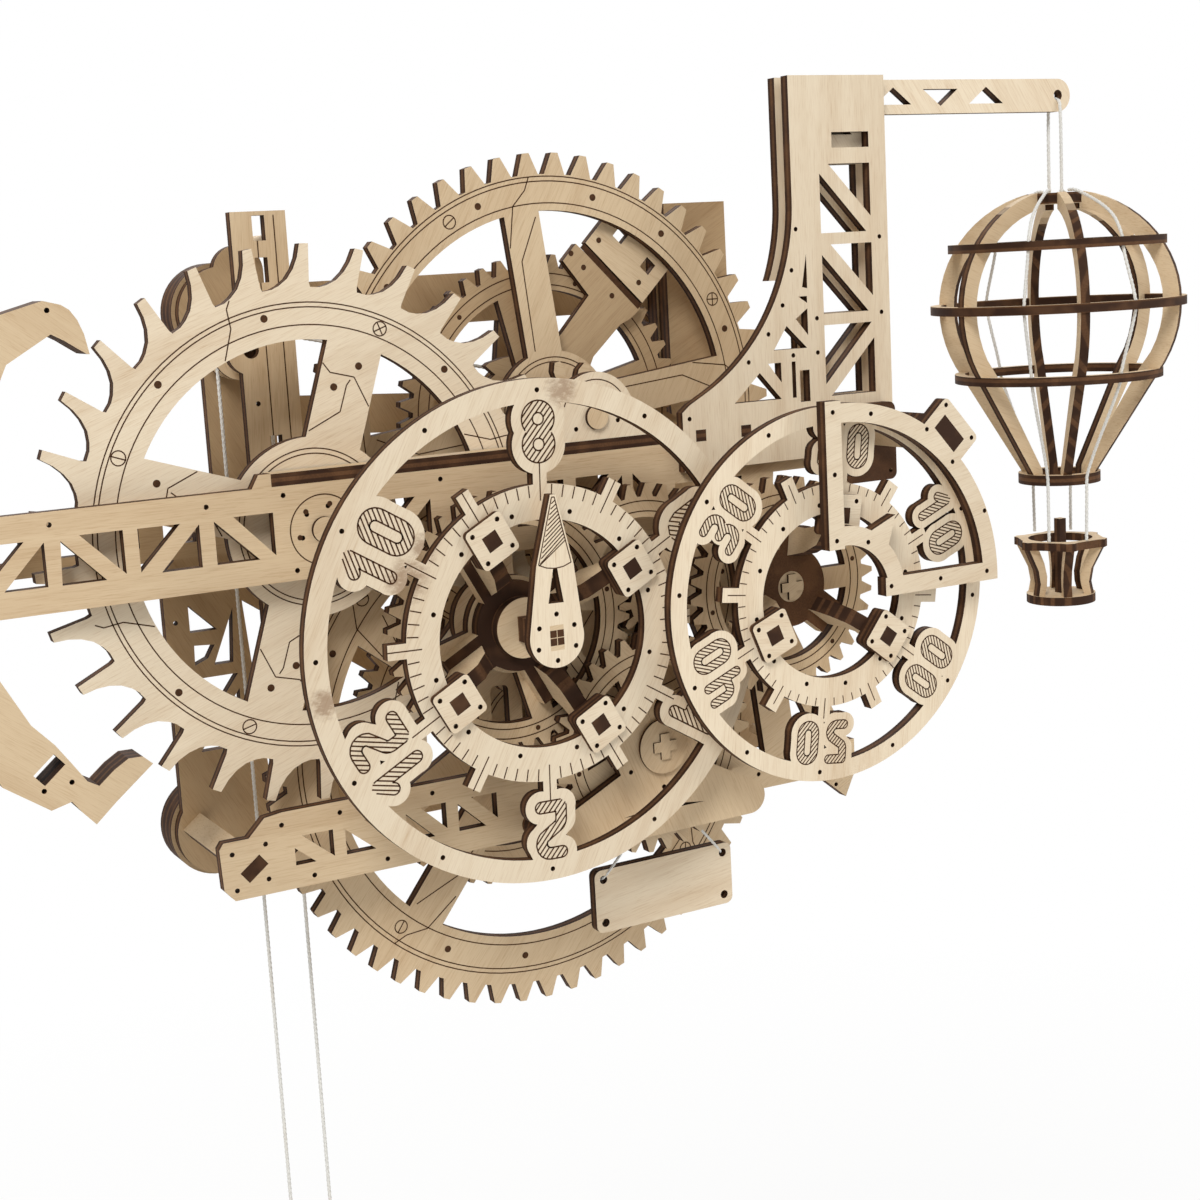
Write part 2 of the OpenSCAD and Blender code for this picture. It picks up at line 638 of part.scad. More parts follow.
// Radial arm, drawn as [radius, depth] and set on edge
module arm(pts, a, t) {
    rotate([0, -a, 0]) translate([0, 0, -t / 2]) linear_extrude(t) polygon(pts);
}
hour_arm = [[25, -tile_t], [29, -tile_t], [29, 3], [33, 3], [33, 6.4], [27.5, 8.4], [23.5, 10.5],
    [20.6, 13.5], [10.6, 13.5], [12.4, 8.6], [16.4, 5.6], [22.4, 4.6], [24, 3], [25, 3]];
module hour_spider() {
    color([0.8, 0.67, 0.47]) place() {
        plate(y_star, y_hour_wheel - y_star) difference() {
            union() {
                circle(11);
                for (k = [0 : 3]) rotate(hour_tiles_a + 90 * k) translate([0, -4.6]) square([20.6, 9.2]);
            }
            circle(main_r + run);
        }
        for (k = [0 : 3]) arm(hour_arm, hour_tiles_a + 90 * k, 4);
    }
}
module hour_wheel() {
    color([0.82, 0.7, 0.51]) place() plate(y_hour_wheel)
        spoked(wheel_pts(n_hour, m_hour, p_hour, 0.24), 24.5, 12, 4, 16, 6, main_r + run);
}
module idler_wheel() {
    color([0.82, 0.7, 0.51]) place() plate(y_idler) translate(idler_c)
        spoked(wheel_pts(n_idler, m_idler, p_idler, 0.24), 21.5, 9.5, 3, 50, 6, axle_r);
}
module idler_arbor() {
    color([0.82, 0.7, 0.51]) place() {
        plate(y_hour_wheel, y_idler - y_hour_wheel) translate(idler_c)
            polygon(pinion_pts(n_idler_p, m_hour, 0, 0.24));
        rod(idler_c, axle_r, 16.6, y_front + ply + 2.5);
        rod(idler_c, 5.5, y_front - 3.5, y_front - 0.3);
        rod(idler_c, 5.5, y_front + ply + 0.3, y_front + ply + 2.5);
    }
}
module minute_dial() {
    color([0.9, 0.79, 0.6]) place() plate(y_minute) translate(minute_c) difference() {
        union() {
            rotate(minute_turn) {
                dial_ring(minute_r, rim_w - 0.5, minute_tick_r, minute_eye_r);
                intersection() {
                    for (k = [0 : 5]) rotate(60 * k) numeral(minute_digits[k], 37.5, 0.77, 8.8);
                    circle(minute_r - 2);
                }
            }
            for (k = [0 : 2]) at(pol([0, 0], minute_tile_r, minute_tiles_a + 120 * k), minute_tiles_a + 120 * k)
                pill(10.5, 10.5, 1.2);
        }
        for (k = [0 : 2]) at(pol([0, 0], minute_tile_r, minute_tiles_a + 120 * k), minute_tiles_a + 120 * k)
            square(4, center = true);
        rotate(minute_turn) dot_ring(12, 45.2, 90);
        rotate(minute_turn) dot_ring(12, 23.2, 75);
    }
}
module minute_tiles() {
    color([0.9, 0.79, 0.6]) place() plate(y_minute - tile_t, tile_t) translate(minute_c)
        for (k = [0 : 2]) at(pol([0, 0], minute_tile_r, minute_tiles_a + 120 * k), minute_tiles_a + 120 * k)
            small_tile();
}
minute_arm = [[18.2, y_minute - tile_t], [22.2, y_minute - tile_t], [22.2, -5], [25.6, -5], [25, -2.6],
    [20, -0.7], [16.7, -0.7], [15.8, 3], [15.8, 10.2], [8, 10.2], [9.6, 3], [12, -2], [15, -4],
    [17.2, -5], [18.2, -5]];
module minute_spider() {
    color([0.8, 0.67, 0.47]) place() {
        translate([minute_c[0], 0, 0]) for (k = [0 : 2]) arm(minute_arm, minute_tiles_a + 120 * k, 4);
        plate(10.2, y_first - 10.2) translate(minute_c) difference() {
            union() {
                circle(10.5);
                for (k = [0 : 2]) rotate(minute_tiles_a + 120 * k) translate([0, -4.6]) square([15.8, 9.2]);
            }
            circle(main_r);
        }
    }
}
module minute_wheel() {
    color([0.82, 0.7, 0.51]) place() plate(y_first) translate(minute_c)
        spoked(wheel_pts(n_minute, m_first, p_minute, 0.26), 20, 9.5, 3, 0, 6, main_r);
}
module minute_pinion() {
    color([0.82, 0.7, 0.51]) place() plate(y_idler) translate(minute_c) difference() {
        polygon(pinion_pts(n_minute_p, m_idler, 0, 0.24));
        circle(main_r);
    }
}
module minute_axle() {
    color([0.5, 0.36, 0.22]) place() {
        rod(minute_c, main_r, y_first, y_front + ply + 4);
        plate(9.4, y_first - 9.4) translate(minute_c) {
            square([6.6, 2.4], center = true);
            square([2.4, 6.6], center = true);
        }
        plate(10.2, y_first - 10.2) translate(minute_c) circle(main_r);
        rod(minute_c, 6.5, y_first + ply, y_idler);
        rod(minute_c, 6.5, y_front + ply + 0.3, y_front + ply + 4);
    }
}
module centre_gear() {
    color([0.82, 0.7, 0.51]) place() plate(y_first) translate(centre_c)
        spoked(wheel_pts(n_centre, m_first, 0, 0.26), 20, 9.5, 4, 20, 6, axle_r);
}
module centre_wheel() {
    color([0.82, 0.7, 0.51]) place() plate(y_centre) translate(centre_c)
        spoked(wheel_pts(n_slow, m_slow, p_slow, 0.2), 11.5, 6.5, 4, 20, 3.6, axle_r);
}
module centre_axle() {
    color([0.5, 0.36, 0.22]) place() {
        rod(centre_c, axle_r, 9.6, y_centre + ply);
        plate(8.2, 1.4) translate(centre_c) {
            square([6.6, 2.6], center = true);
            square([2.6, 6.6], center = true);
        }
        rod(centre_c, 7, 8.8, 9.6);
        rod(centre_c, 4.4, y_first + ply, y_front - 0.3);
        rod(centre_c, 6, y_front + ply + 0.3, y_centre);
    }
}
module drive_wheel() {
    color([0.82, 0.7, 0.51]) place() plate(y_drive) translate(drive_c)
        spoked(wheel_pts(n_drive, m_drive, 0, 0.36), 55, 16, 4, 52, 11, axle_r);
}
module drive_transfer() {
    color([0.82, 0.7, 0.51]) place() plate(y_second) translate(drive_c)
        spoked(wheel_pts(n_transfer, m_wind, p_transfer, 0.26), 34, 12, 4, 30, 8, axle_r);
}
module drive_arbor() {
    color([0.66, 0.52, 0.35]) place() {
        rod(drive_c, axle_r, y_front - 1, y_centre - 0.4);
        plate(y_centre - 0.4, y_drive - y_centre) translate(drive_c)
            polygon(pinion_pts(n_drive_p, m_slow, 0, 0.2));
        rod(drive_c, axle_r, y_drive - 0.4, y_rear + ply + 1);
        rod(drive_c, 6, y_front + ply + 0.3, y_front + ply + 3);
        rod(drive_c, 8, y_drive + ply, y_second);
        rod(drive_c, 6, y_second + ply, y_rear - 0.4);
    }
}
click_c = pol(top_c, 29, 14);
module winding_wheel() {
    color([0.82, 0.7, 0.51]) place() {
        plate(y_second) translate(top_c)
            spoked(wheel_pts(n_wind, m_wind, 0, 0.26), 32, 12, 4, 14, 8, axle_r + run);
        rod(click_c, 1.5, y_second + ply, y_drum);
    }
}
// Click that falls into the ratchet of the drum
module drive_click() {
    color([0.6, 0.46, 0.3]) place() plate(y_click, ply - 0.2) difference() {
        union() {
            translate(click_c) circle(3);
            polygon([pol(click_c, 2.95, 142), pol(top_c, 21.6, -2), pol(top_c, 20.4, -14),
                pol(top_c, 20.4, -28), pol(top_c, 19.2, -37), pol(top_c, 17.4, -41.2),
                pol(top_c, 21.2, -41), pol(top_c, 23.8, -33), pol(top_c, 24.8, -18),
                pol(top_c, 26.5, -4), pol(click_c, 2.95, 322)]);
        }
        translate(click_c) circle(1.5 + run);
    }
}
module cord_drum() {
    color([0.66, 0.52, 0.35]) place() {
        plate(y_click, ply - 0.2) translate(top_c) difference() {
            polygon([for (i = [0 : n_ratchet - 1]) let (a = -12 - 30 * i)
                for (q = [[16, 0], [19.6, 0], [19.3, -4], [17.4, -17]]) q[0] * [cos(a + q[1]), sin(a + q[1])]]);
            circle(axle_r + run);
        }
        plate(y_drum - 0.2, 1) translate(top_c) ring(14, axle_r + run);
        plate(y_drum + 0.8, 6) translate(top_c) ring(drum_r, axle_r + run);
        plate(y_drum + 6.8, 1) translate(top_c) ring(14, axle_r + run);
    }
}
module top_wheel() {
    color([0.82, 0.7, 0.51]) place() plate(y_top) translate(top_c)
        spoked(wheel_pts(n_top, m_top, 0, 0.4), 52, 16.3, 4, 7, 10, axle_r);
}
module top_pinion() {
    color([0.82, 0.7, 0.51]) place() plate(y_drive) translate(top_c) difference() {
        polygon(pinion_pts(n_top_p, m_drive, p_top_p, 0.36));
        circle(axle_r);
    }
}
module top_axle() {
    color([0.66, 0.52, 0.35]) place() {
        rod(top_c, axle_r, y_front - 1, y_rear + ply + 1);
        rod(top_c, 5, y_front + ply + 0.3, y_drive);
        rod(top_c, 7, y_drive + ply, y_top);
        rod(top_c, 7, y_top + ply, y_second - 0.4);
        rod(top_c, 6, y_drum + 8.2, y_rear - 0.4);
    }
}
module escape_wheel() {
    color([0.9, 0.79, 0.6]) place() plate(y_escape) translate(escape_c)
        spoked(escape_pts(n_escape, escape_r, escape_depth, escape_a), 44.2, 21.5, 4, 72, 14, axle_r);
}
module escape_arbor() {
    color([0.66, 0.52, 0.35]) place() {
        plate(y_top) translate(escape_c) polygon(pinion_pts(n_escape_p, m_top, p_escape_p, 0.4));
        rod(escape_c, axle_r, y_front - 1, y_second + ply);
        rod(escape_c, 8, y_front + ply + 0.3, y_escape);
        rod(escape_c, 8, y_escape + ply, y_top);
        rod(escape_c, 6, y_top + ply, y_second - 0.4);
    }
}
// Anchor of three plies; its pallets are given about the escape axle
tip_r = escape_r + pallet_clear;
function pe(r, a) = pol(escape_c, tip_r + r, a);
module anchor() {
    color([0.9, 0.79, 0.6]) place() {
        for (i = [0 : 2]) plate(30.6 + 3 * i) difference() {
            union() {
                polygon([pe(0, 138.3), pe(3.7, 136), pe(6.7, 134.9), pe(9.4, 134.5), pe(11.5, 134.8),
                    pe(15, 136.2), pe(26, 146), [-139, 38], [-128.5, 34.5], pe(14, 147.5), pe(9.3, 139.6),
                    pe(6, 139.1), pe(3.5, 138.9), pe(0.6, 138.6)]);
                polygon([pe(0, 225.4), pe(0, 228), pe(4.5, 227.4), pe(11.8, 226.6), pe(18.3, 226.2),
                    pe(18, 223.2), pe(17.6, 220.8), pe(22, 219.4), pe(26, 212), [-139, 17],
                    [-128.5, 20], pe(13, 207), pe(11.5, 212), pe(11.5, 216.6), pe(12, 220.4),
                    pe(11.1, 222.5), pe(6.3, 222.7), pe(2.3, 223.4)]);
                translate(anchor_c) circle(11);
            }
            translate(anchor_c) circle(axle_r);
            translate(pe(16, 214.6)) rotate(40) square([6.5, 3.6], center = true);
            dots([pe(14.4, 218.6), pe(13, 134.9 + 2), pe(20, 216.5)]);
        }
        rod(anchor_c, axle_r, y_front - 1, 62);
        rod(anchor_c, 6, 39.6, y_rod);
        rod(anchor_c, 6, y_rod + ply, 57.6);
    }
}
rod_end = anchor_c[1] - pendulum_l;
module pendulum_rod() {
    color([0.86, 0.74, 0.55]) place() plate(y_rod) difference() {
        union() {
            translate([anchor_c[0] - 3.5, rod_end - bob_r - 14]) square([7, pendulum_l + bob_r + 14]);
            translate(anchor_c) circle(9);
        }
        translate(anchor_c) circle(axle_r);
        for (z = [8, -22, -52, -82, -112, -142, -172]) translate([anchor_c[0], z - 6]) pill(3, 16, 1.4);
    }
}
module pendulum_bob() {
    color([0.66, 0.52, 0.35]) place() difference() {
        for (y = [y_rod - 4.5, y_rod + ply]) rod([anchor_c[0], rod_end], bob_r, y, y + 4.5);
        for (y = [y_rod - 4.5, y_rod + ply + 1.5]) rod([anchor_c[0], rod_end], bob_r - 6, y - 0.1, y + 3.1);
    }
}
// Name plate without lettering, hung on a cord over a peg
module plaque() {
    color([0.86, 0.74, 0.55]) place() {
        plate(22.4) difference() {
            translate([42.2, -77.1]) pill(41.6, 16.8, 2);
            for (i = [-1, 1], j = [-1, 1]) translate([42.2 + 18.2 * i, -77.1 + 5.8 * j]) circle(1.1);
        }
    }
}
// Eight-sided cord along a path; ref is square to the plane that the path lies in
function path_dir(p, i) = let (d = p[min(i + 1, len(p) - 1)] - p[max(i - 1, 0)]) d / norm(d);
function ring_at(p, i, ref, r) = let (d = path_dir(p, i), u = cross(d, ref), un = u / norm(u),
    v = cross(d, un)) [for (k = [0 : 7]) p[i] + r * (un * cos(45 * k) + v * sin(45 * k))];
module cord(p, ref, r) {
    n = len(p);
    polyhedron(
        points = [for (i = [0 : n - 1]) each ring_at(p, i, ref, r)],
        faces = concat([[for (k = [0 : 7]) k]],
            [for (i = [0 : n - 2], k = [0 : 7])
                [i * 8 + k, i * 8 + 8 + k, i * 8 + 8 + (k + 1) % 8, i * 8 + (k + 1) % 8]],
            [[for (k = [7 : -1 : 0]) (n - 1) * 8 + k]]),
        convexity = 10);
}
module plaque_cord() {
    color([0.93, 0.92, 0.88]) place() {
        cord(concat([[24, 21.9, -71.3]],
            [for (a = [138, 114, 90, 66, 42]) [peg_c[0] + 1.45 * cos(a), 21.9, peg_c[1] + 1.45 * sin(a)]],
            [[60.4, 21.9, -71.3]]), [0, 1, 0], 0.4);
        for (x = [24, 60.4]) rod([x, -71.3], 0.9, 21.4, 25.9);
    }
}

// Balloon
rib_w = 4.6;
neck_r = 10.9;
ring_zs = [83.2, 66, 46];
function bal_r(z) = z > balloon_z
    ? balloon_r * sqrt(1 - pow((z - balloon_z) / 32.5, 2))
    : balloon_r * sqrt(1 - pow((z - balloon_z) / 34.5, 2));
rib_outer = concat([for (t = [84 : -6 : 0]) [balloon_r * cos(t), balloon_z + 32.5 * sin(t)]],
    [for (t = [-6 : -6 : -30]) [balloon_r * cos(t), balloon_z + 34.5 * sin(t)]],
    [[bal_r(46), 46], [neck_r, 18], [neck_r, 15]]);
rib_inner = concat([[neck_r - 3.6, 15], [neck_r - 3.4, 19], [bal_r(46) - rib_w - 0.6, 47]],
    [for (t = [-28 : 7 : 0]) [(balloon_r - rib_w) * cos(t), balloon_z + (34.5 - rib_w) * sin(t)]],
    [for (t = [7 : 7 : 77]) [(balloon_r - rib_w) * cos(t), balloon_z + (32.5 - rib_w) * sin(t)]]);
module at_balloon() {
    place() translate([balloon_c[0], balloon_c[1], 0]) children();
}
module ring_set(grow = 0) {
    for (z = ring_zs) translate([0, 0, z - 1.25]) difference() {
        cylinder(r = bal_r(z) + 0.6 + grow, h = 2.5);
        translate([0, 0, -1]) cylinder(r = bal_r(z) - rib_w / 2, h = 5);
    }
    translate([0, 0, 14.9]) difference() {
        cylinder(r = neck_r + 0.8 + grow, h = 3);
        translate([0, 0, -1]) cylinder(r = neck_r - 1.8, h = 5);
    }
    translate([0, 0, 94.5]) cylinder(r = 8, h = 3);
}
module balloon_ribs() {
    color([0.86, 0.74, 0.55]) at_balloon() difference() {
        for (k = [0 : 5]) rotate(60 * k) translate([0, rib_t / 2, 0]) rotate([90, 0, 0])
            linear_extrude(rib_t) polygon(concat(rib_outer, rib_inner));
        ring_set(3);
        translate([0, 0, 90]) cylinder(r = 8, h = 20);
    }
}
module balloon_rings() {
    color([0.8, 0.68, 0.49]) at_balloon() difference() {
        ring_set();
        for (a = string_angles, z = ring_zs) rotate(a) translate([bal_r(z) - 0.8, 0, z - 2])
            cylinder(r = 0.85, h = 4);
    }
}
string_angles = [213, 265, 33, 85];
string_path = concat([[6, 0, 98.2], [9.4, 0, 98.2], [bal_r(89) - 0.4, 0, 92]],
    [for (z = ring_zs, d = [1.8, -1.8]) [bal_r(z) - 0.8, 0, z + d]],
    [[neck_r + 1.7, 0, 19], [neck_r + 1.7, 0, 14], [12.2, 0, -1.2]]);
module balloon_strings() {
    color([0.93, 0.92, 0.88]) at_balloon() {
        for (a = string_angles) rotate(a) cord(string_path, [0, 1, 0], 0.5);
        for (y = [-2.6, 2.6]) cord([[0, y, 97.6], [0, y, hang_z - 0.95]], [1, 0, 0], 0.5);
        translate([0, 3.1, hang_z - 0.95]) rotate([90, 0, 0]) cylinder(r = 0.55, h = 6.2);
    }
}
// Basket of a base, a rim with six horns and six flared ribs, with a mast in the middle
basket_rim = 12.2;
basket_rib = [[basket_r - 2.6, -18], [basket_r - 0.4, -18], [basket_r - 1.1, -14.5], [basket_r - 0.4, -10.5],
    [basket_rim + 0.6, -4], [basket_rim - 2.8, -4], [basket_r - 2.6, -8.5], [basket_r - 3.6, -12.5],
    [basket_r - 3.4, -15.5]];
module basket() {
    color([0.7, 0.56, 0.38]) at_balloon() {
        translate([0, 0, -20.5]) cylinder(r = basket_r, h = 2.5);
        for (k = [0 : 5]) rotate(60 * k) translate([0, rib_t / 2, 0]) rotate([90, 0, 0])
            linear_extrude(rib_t) polygon(basket_rib);
        translate([0, 0, -4]) linear_extrude(2.3) difference() {
            polygon([for (k = [0 : 5], q = [[basket_rim, -12], [13.6, -5], [13.6, 5], [basket_rim, 12]])
                q[0] * [cos(60 * k + q[1]), sin(60 * k + q[1])]]);
            circle(basket_rim - 3);
        }
        translate([-1.2, -1.2, -18]) cube([2.4, 2.4, 22]);
    }
}

// Cord, pulleys and weight
module pulley(c) {
    rod_ring(c, 7.4, 62, 63);
    rod_ring(c, groove_r, 63, 68);
    rod_ring(c, 7.4, 68, 69);
}
module rod_ring(c, r, y0, y1) {
    plate(y0, y1 - y0) translate(c) ring(r, 2 + run);
}
module guide_pulley() {
    color([0.66, 0.52, 0.35]) place() pulley(guide_c);
}
sling_c = [guide_c[0], sling_z];
module sling_pulley() {
    color([0.66, 0.52, 0.35]) place() pulley(sling_c);
}
wrap_r = drum_r + cord_d / 2 + 0.15;
run_a = toward(top_c, guide_c) - acos((wrap_r - strand_r - 0.02) / dist(top_c, guide_c));
guide_r = strand_r + 0.02;
wrap_n = 60;
cord_path = concat(
    [for (i = [0 : wrap_n]) let (a = run_a - 720 * (1 - i / wrap_n))
        [top_c[0] + wrap_r * cos(a), 62.9 + (y_cord - 62.9) * i / wrap_n, top_c[1] + wrap_r * sin(a)]],
    [for (i = [0 : 8]) let (a = run_a + (180 - run_a) * i / 8)
        [guide_c[0] + guide_r * cos(a), y_cord, guide_c[1] + guide_r * sin(a)]],
    [[guide_c[0] - guide_r, y_cord, strand_z]]
);
module drive_cord() {
    color([0.93, 0.92, 0.88]) place() cord(cord_path, [0, 1, 0], cord_d / 2);
}
module weight_cords() {
    color([0.93, 0.92, 0.88]) place() {
        for (i = [-1, 1]) translate([guide_c[0] + i * guide_r, y_cord, sling_z])
            cylinder(d = cord_d, h = strand_z - sling_z - 0.02);
        translate([guide_c[0], y_cord, sling_z]) rotate([90, 180, 0])
            rotate_extrude(angle = 180) translate([guide_r, 0]) circle(d = cord_d);
    }
}
module weight() {
    color([0.66, 0.52, 0.35]) place() {
        rod(sling_c, 2, 60.2, 70.8);
        for (y = [60.2, 69.2]) plate(y, 1.6) difference() {
            translate([guide_c[0], sling_z - 9]) pill(10, 29, 3);
            translate(sling_c) circle(2);
        }
        translate([guide_c[0], y_cord, sling_z - 23.5]) cylinder(r = 9, h = 3);
        translate([guide_c[0], y_cord, sling_z - 23.5 - weight_h]) difference() {
            cylinder(r = weight_r, h = weight_h);
            for (z = [8, weight_h - 10]) translate([0, 0, z]) difference() {
                cylinder(r = weight_r + 1, h = 2);
                translate([0, 0, -1]) cylinder(r = weight_r - 1, h = 4);
            }
        }
    }
}

upper_beam();
lower_beam();
movement_plate();
hour_strut();
beam_shelf();
top_bearing();
arbor_bracket();
tower_front();
tower_rear();
tower_arm();
ply_stack();
left_column();
rear_beam();
rear_frame();
wall_spacers();
spacer_posts();
hour_post();
hour_pointer();
sector_frame();
sector_strut();
hour_dial();
hour_tiles();
hour_spider();
hour_wheel();
idler_wheel();
idler_arbor();
minute_dial();
minute_tiles();
minute_spider();
minute_wheel();
minute_pinion();
minute_axle();
centre_gear();
centre_wheel();
centre_axle();
drive_wheel();
drive_transfer();
drive_arbor();
winding_wheel();
drive_click();
cord_drum();
top_wheel();
top_pinion();
top_axle();
escape_wheel();
escape_arbor();
anchor();
pendulum_rod();
pendulum_bob();
plaque();
plaque_cord();
balloon_ribs();
balloon_rings();
balloon_strings();
basket();
guide_pulley();
drive_cord();
weight_cords();
weight();
sling_pulley();
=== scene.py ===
# %% [markdown]
# A wall clock cut from thin plywood by a laser: dials, gear wheels, trussed plates, a pendulum and a
# small balloon. Every plate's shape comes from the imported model, which is loaded here as a fixed frame.
# What is left for this script is what the laser and the wood add: grain, dark burnt edges, engraved
# numerals, ticks and lines, the twist of the cords, and a small bracket behind the top wheel. The
# frame is loaded first, because each engraved line takes its place from it.
# %% Load the frame
import math

import bmesh
import bpy
import json
import random
from mathutils import Matrix, Vector


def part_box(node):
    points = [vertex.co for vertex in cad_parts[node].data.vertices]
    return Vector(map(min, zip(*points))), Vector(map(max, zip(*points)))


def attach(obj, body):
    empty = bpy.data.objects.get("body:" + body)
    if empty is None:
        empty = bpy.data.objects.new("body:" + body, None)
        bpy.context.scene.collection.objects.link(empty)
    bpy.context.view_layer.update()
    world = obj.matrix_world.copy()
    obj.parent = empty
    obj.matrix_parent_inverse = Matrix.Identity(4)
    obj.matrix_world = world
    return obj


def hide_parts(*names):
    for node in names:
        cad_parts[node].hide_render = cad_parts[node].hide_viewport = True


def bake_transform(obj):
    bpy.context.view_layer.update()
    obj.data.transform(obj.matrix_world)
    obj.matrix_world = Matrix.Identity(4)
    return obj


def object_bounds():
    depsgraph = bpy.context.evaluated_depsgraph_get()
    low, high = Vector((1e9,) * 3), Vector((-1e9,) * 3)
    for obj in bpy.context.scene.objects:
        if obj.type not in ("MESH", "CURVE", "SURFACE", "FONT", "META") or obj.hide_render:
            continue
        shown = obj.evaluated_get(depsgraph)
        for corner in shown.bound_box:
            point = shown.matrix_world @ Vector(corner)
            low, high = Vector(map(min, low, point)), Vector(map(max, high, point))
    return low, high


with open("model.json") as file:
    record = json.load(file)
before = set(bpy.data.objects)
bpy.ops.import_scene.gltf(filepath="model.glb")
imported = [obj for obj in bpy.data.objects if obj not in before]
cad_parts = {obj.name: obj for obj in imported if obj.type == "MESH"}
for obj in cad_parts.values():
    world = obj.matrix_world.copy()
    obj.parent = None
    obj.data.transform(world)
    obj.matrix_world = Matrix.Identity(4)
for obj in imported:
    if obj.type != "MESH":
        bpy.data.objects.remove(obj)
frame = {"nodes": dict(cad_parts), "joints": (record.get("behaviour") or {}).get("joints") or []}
cad_box = [list(corner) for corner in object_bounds()]
MM = 0.001
PLY = 3 * MM
axis_of = {joint["name"]: Vector(joint["pos_m"]) for joint in frame["joints"] if joint["type"] == "hinge"}
hour_axis, minute_axis = axis_of["hour_turn"], axis_of["minute_turn"]


def front_of(node):
    """Where a plate's front face lies along Y."""
    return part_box(node)[0].y


# %% [markdown]
# The clock hangs on a wall and is looked at from the left and from a little above, through a fairly
# long lens. A camera could be aimed with a Track To constraint, but the picture is also rolled a few
# degrees, so the three angles are set as one rotation: first the roll, then the pitch, then the yaw.
# %% Camera
CAMERA_PLACE = Vector((-0.2213, -0.4830, 0.0083))
CAMERA_YAW, CAMERA_PITCH, CAMERA_ROLL = 28.7155, 9.9398, -3.1831
LENS, SENSOR = 58.05, 36
SHIFT_Y = -2 / 1200


def add_camera():
    data = bpy.data.cameras.new("camera")
    data.lens = LENS
    data.sensor_width = SENSOR
    data.clip_start = 0.01
    data.clip_end = 50
    data.shift_y = SHIFT_Y
    camera = bpy.data.objects.new("camera", data)
    turn = (Matrix.Rotation(math.radians(-CAMERA_YAW), 4, "Z")
            @ Matrix.Rotation(math.radians(90 - CAMERA_PITCH), 4, "X")
            @ Matrix.Rotation(math.radians(CAMERA_ROLL), 4, "Z"))
    camera.matrix_world = Matrix.Translation(CAMERA_PLACE) @ turn
    bpy.context.scene.collection.objects.link(camera)
    bpy.context.scene.camera = camera
    return camera


camera = add_camera()
print("camera at", [round(value, 4) for value in camera.location])

# %% [markdown]
# Small parts in front of each other only read well when the light is soft but comes from one side.
# A big area lamp up on the left draws the shadows, a weak one on the right opens them, one behind
# lights the wall side, and a white world fills the rest. The white that the camera sees behind the
# clock is a colour of the world that only camera, glossy and transmission rays meet, so it adds no
# light to the wood. The first function sets a Math node, and later cells use it for materials too.
# %% Lamps and world
def math_node(group, operation, first, second=None, clamp=False):
    node = group.nodes.new("ShaderNodeMath")
    node.operation = operation
    node.use_clamp = clamp
    for socket, value in zip(node.inputs, (first, second)):
        if value is None:
            continue
        if isinstance(value, (int, float)):
            socket.default_value = value
        else:
            group.links.new(value, socket)
    return node.outputs[0]


def add_lamp(name, place, target, size, power):
    data = bpy.data.lights.new(name, "AREA")
    data.shape = "DISK"
    data.size = size
    data.energy = power
    lamp = bpy.data.objects.new(name, data)
    lamp.location = place
    lamp.rotation_euler = (Vector(target) - Vector(place)).to_track_quat("-Z", "Y").to_euler()
    bpy.context.scene.collection.objects.link(lamp)
    print("lamp", name, "gives", power, "W")


def add_world(fill):
    world = bpy.data.worlds.new("studio")
    bpy.context.scene.world = world
    world.use_nodes = True
    nodes, links = world.node_tree.nodes, world.node_tree.links
    nodes.clear()
    path = nodes.new("ShaderNodeLightPath")
    seen = math_node(world.node_tree, "MAXIMUM", path.outputs["Is Camera Ray"], path.outputs["Is Glossy Ray"])
    seen = math_node(world.node_tree, "MAXIMUM", seen, path.outputs["Is Transmission Ray"])
    lit = nodes.new("ShaderNodeBackground")
    lit.inputs["Color"].default_value = (1.0, 0.97, 0.93, 1)
    lit.inputs["Strength"].default_value = fill
    shown = nodes.new("ShaderNodeBackground")
    shown.inputs["Color"].default_value = (1, 1, 1, 1)
    mix = nodes.new("ShaderNodeMixShader")
    out = nodes.new("ShaderNodeOutputWorld")
    links.new(seen, mix.inputs[0])
    links.new(lit.outputs[0], mix.inputs[1])
    links.new(shown.outputs[0], mix.inputs[2])
    links.new(mix.outputs[0], out.inputs["Surface"])


add_world(fill=0.4)
add_lamp("key", (-1.5, -1.7, 1.9), (0, 0, 0), 1.1, 52)
add_lamp("side", (1.9, -1.5, 0.7), (0.05, 0, 0), 1.2, 14)
add_lamp("behind", (0.6, 1.9, 1.3), (0, 0, 0), 1.4, 24)
bpy.context.scene.view_settings.view_transform = "Standard"

# %% [markdown]
# The clock hangs, so its floor lies well below it. The floor is one large disc, and what the camera
# sees of it is partly plain white, more so with the distance from the clock: near it a soft shadow
# still shows, and far away no edge can be seen against the white world. Two functions come first
# that every new piece needs: one makes an object from a bmesh, and one starts a material.
# %% Floor
FLOOR_RADIUS, FLOOR_DROP = 6, 0.25
FADE_START, FADE_END = 0.5, 1.3
WHITE_NEAR, WHITE_FAR = 0.72, 1


def add_object(name, shape):
    """A new object with the shape as its mesh; the bmesh is freed."""
    mesh = bpy.data.meshes.new(name)
    shape.to_mesh(mesh)
    shape.free()
    piece = bpy.data.objects.new(name, mesh)
    bpy.context.scene.collection.objects.link(piece)
    return piece


def new_material(name):
    """A new material, and the node tree and the shader in it."""
    material = bpy.data.materials.new(name)
    material.use_nodes = True
    return material, material.node_tree, material.node_tree.nodes["Principled BSDF"]


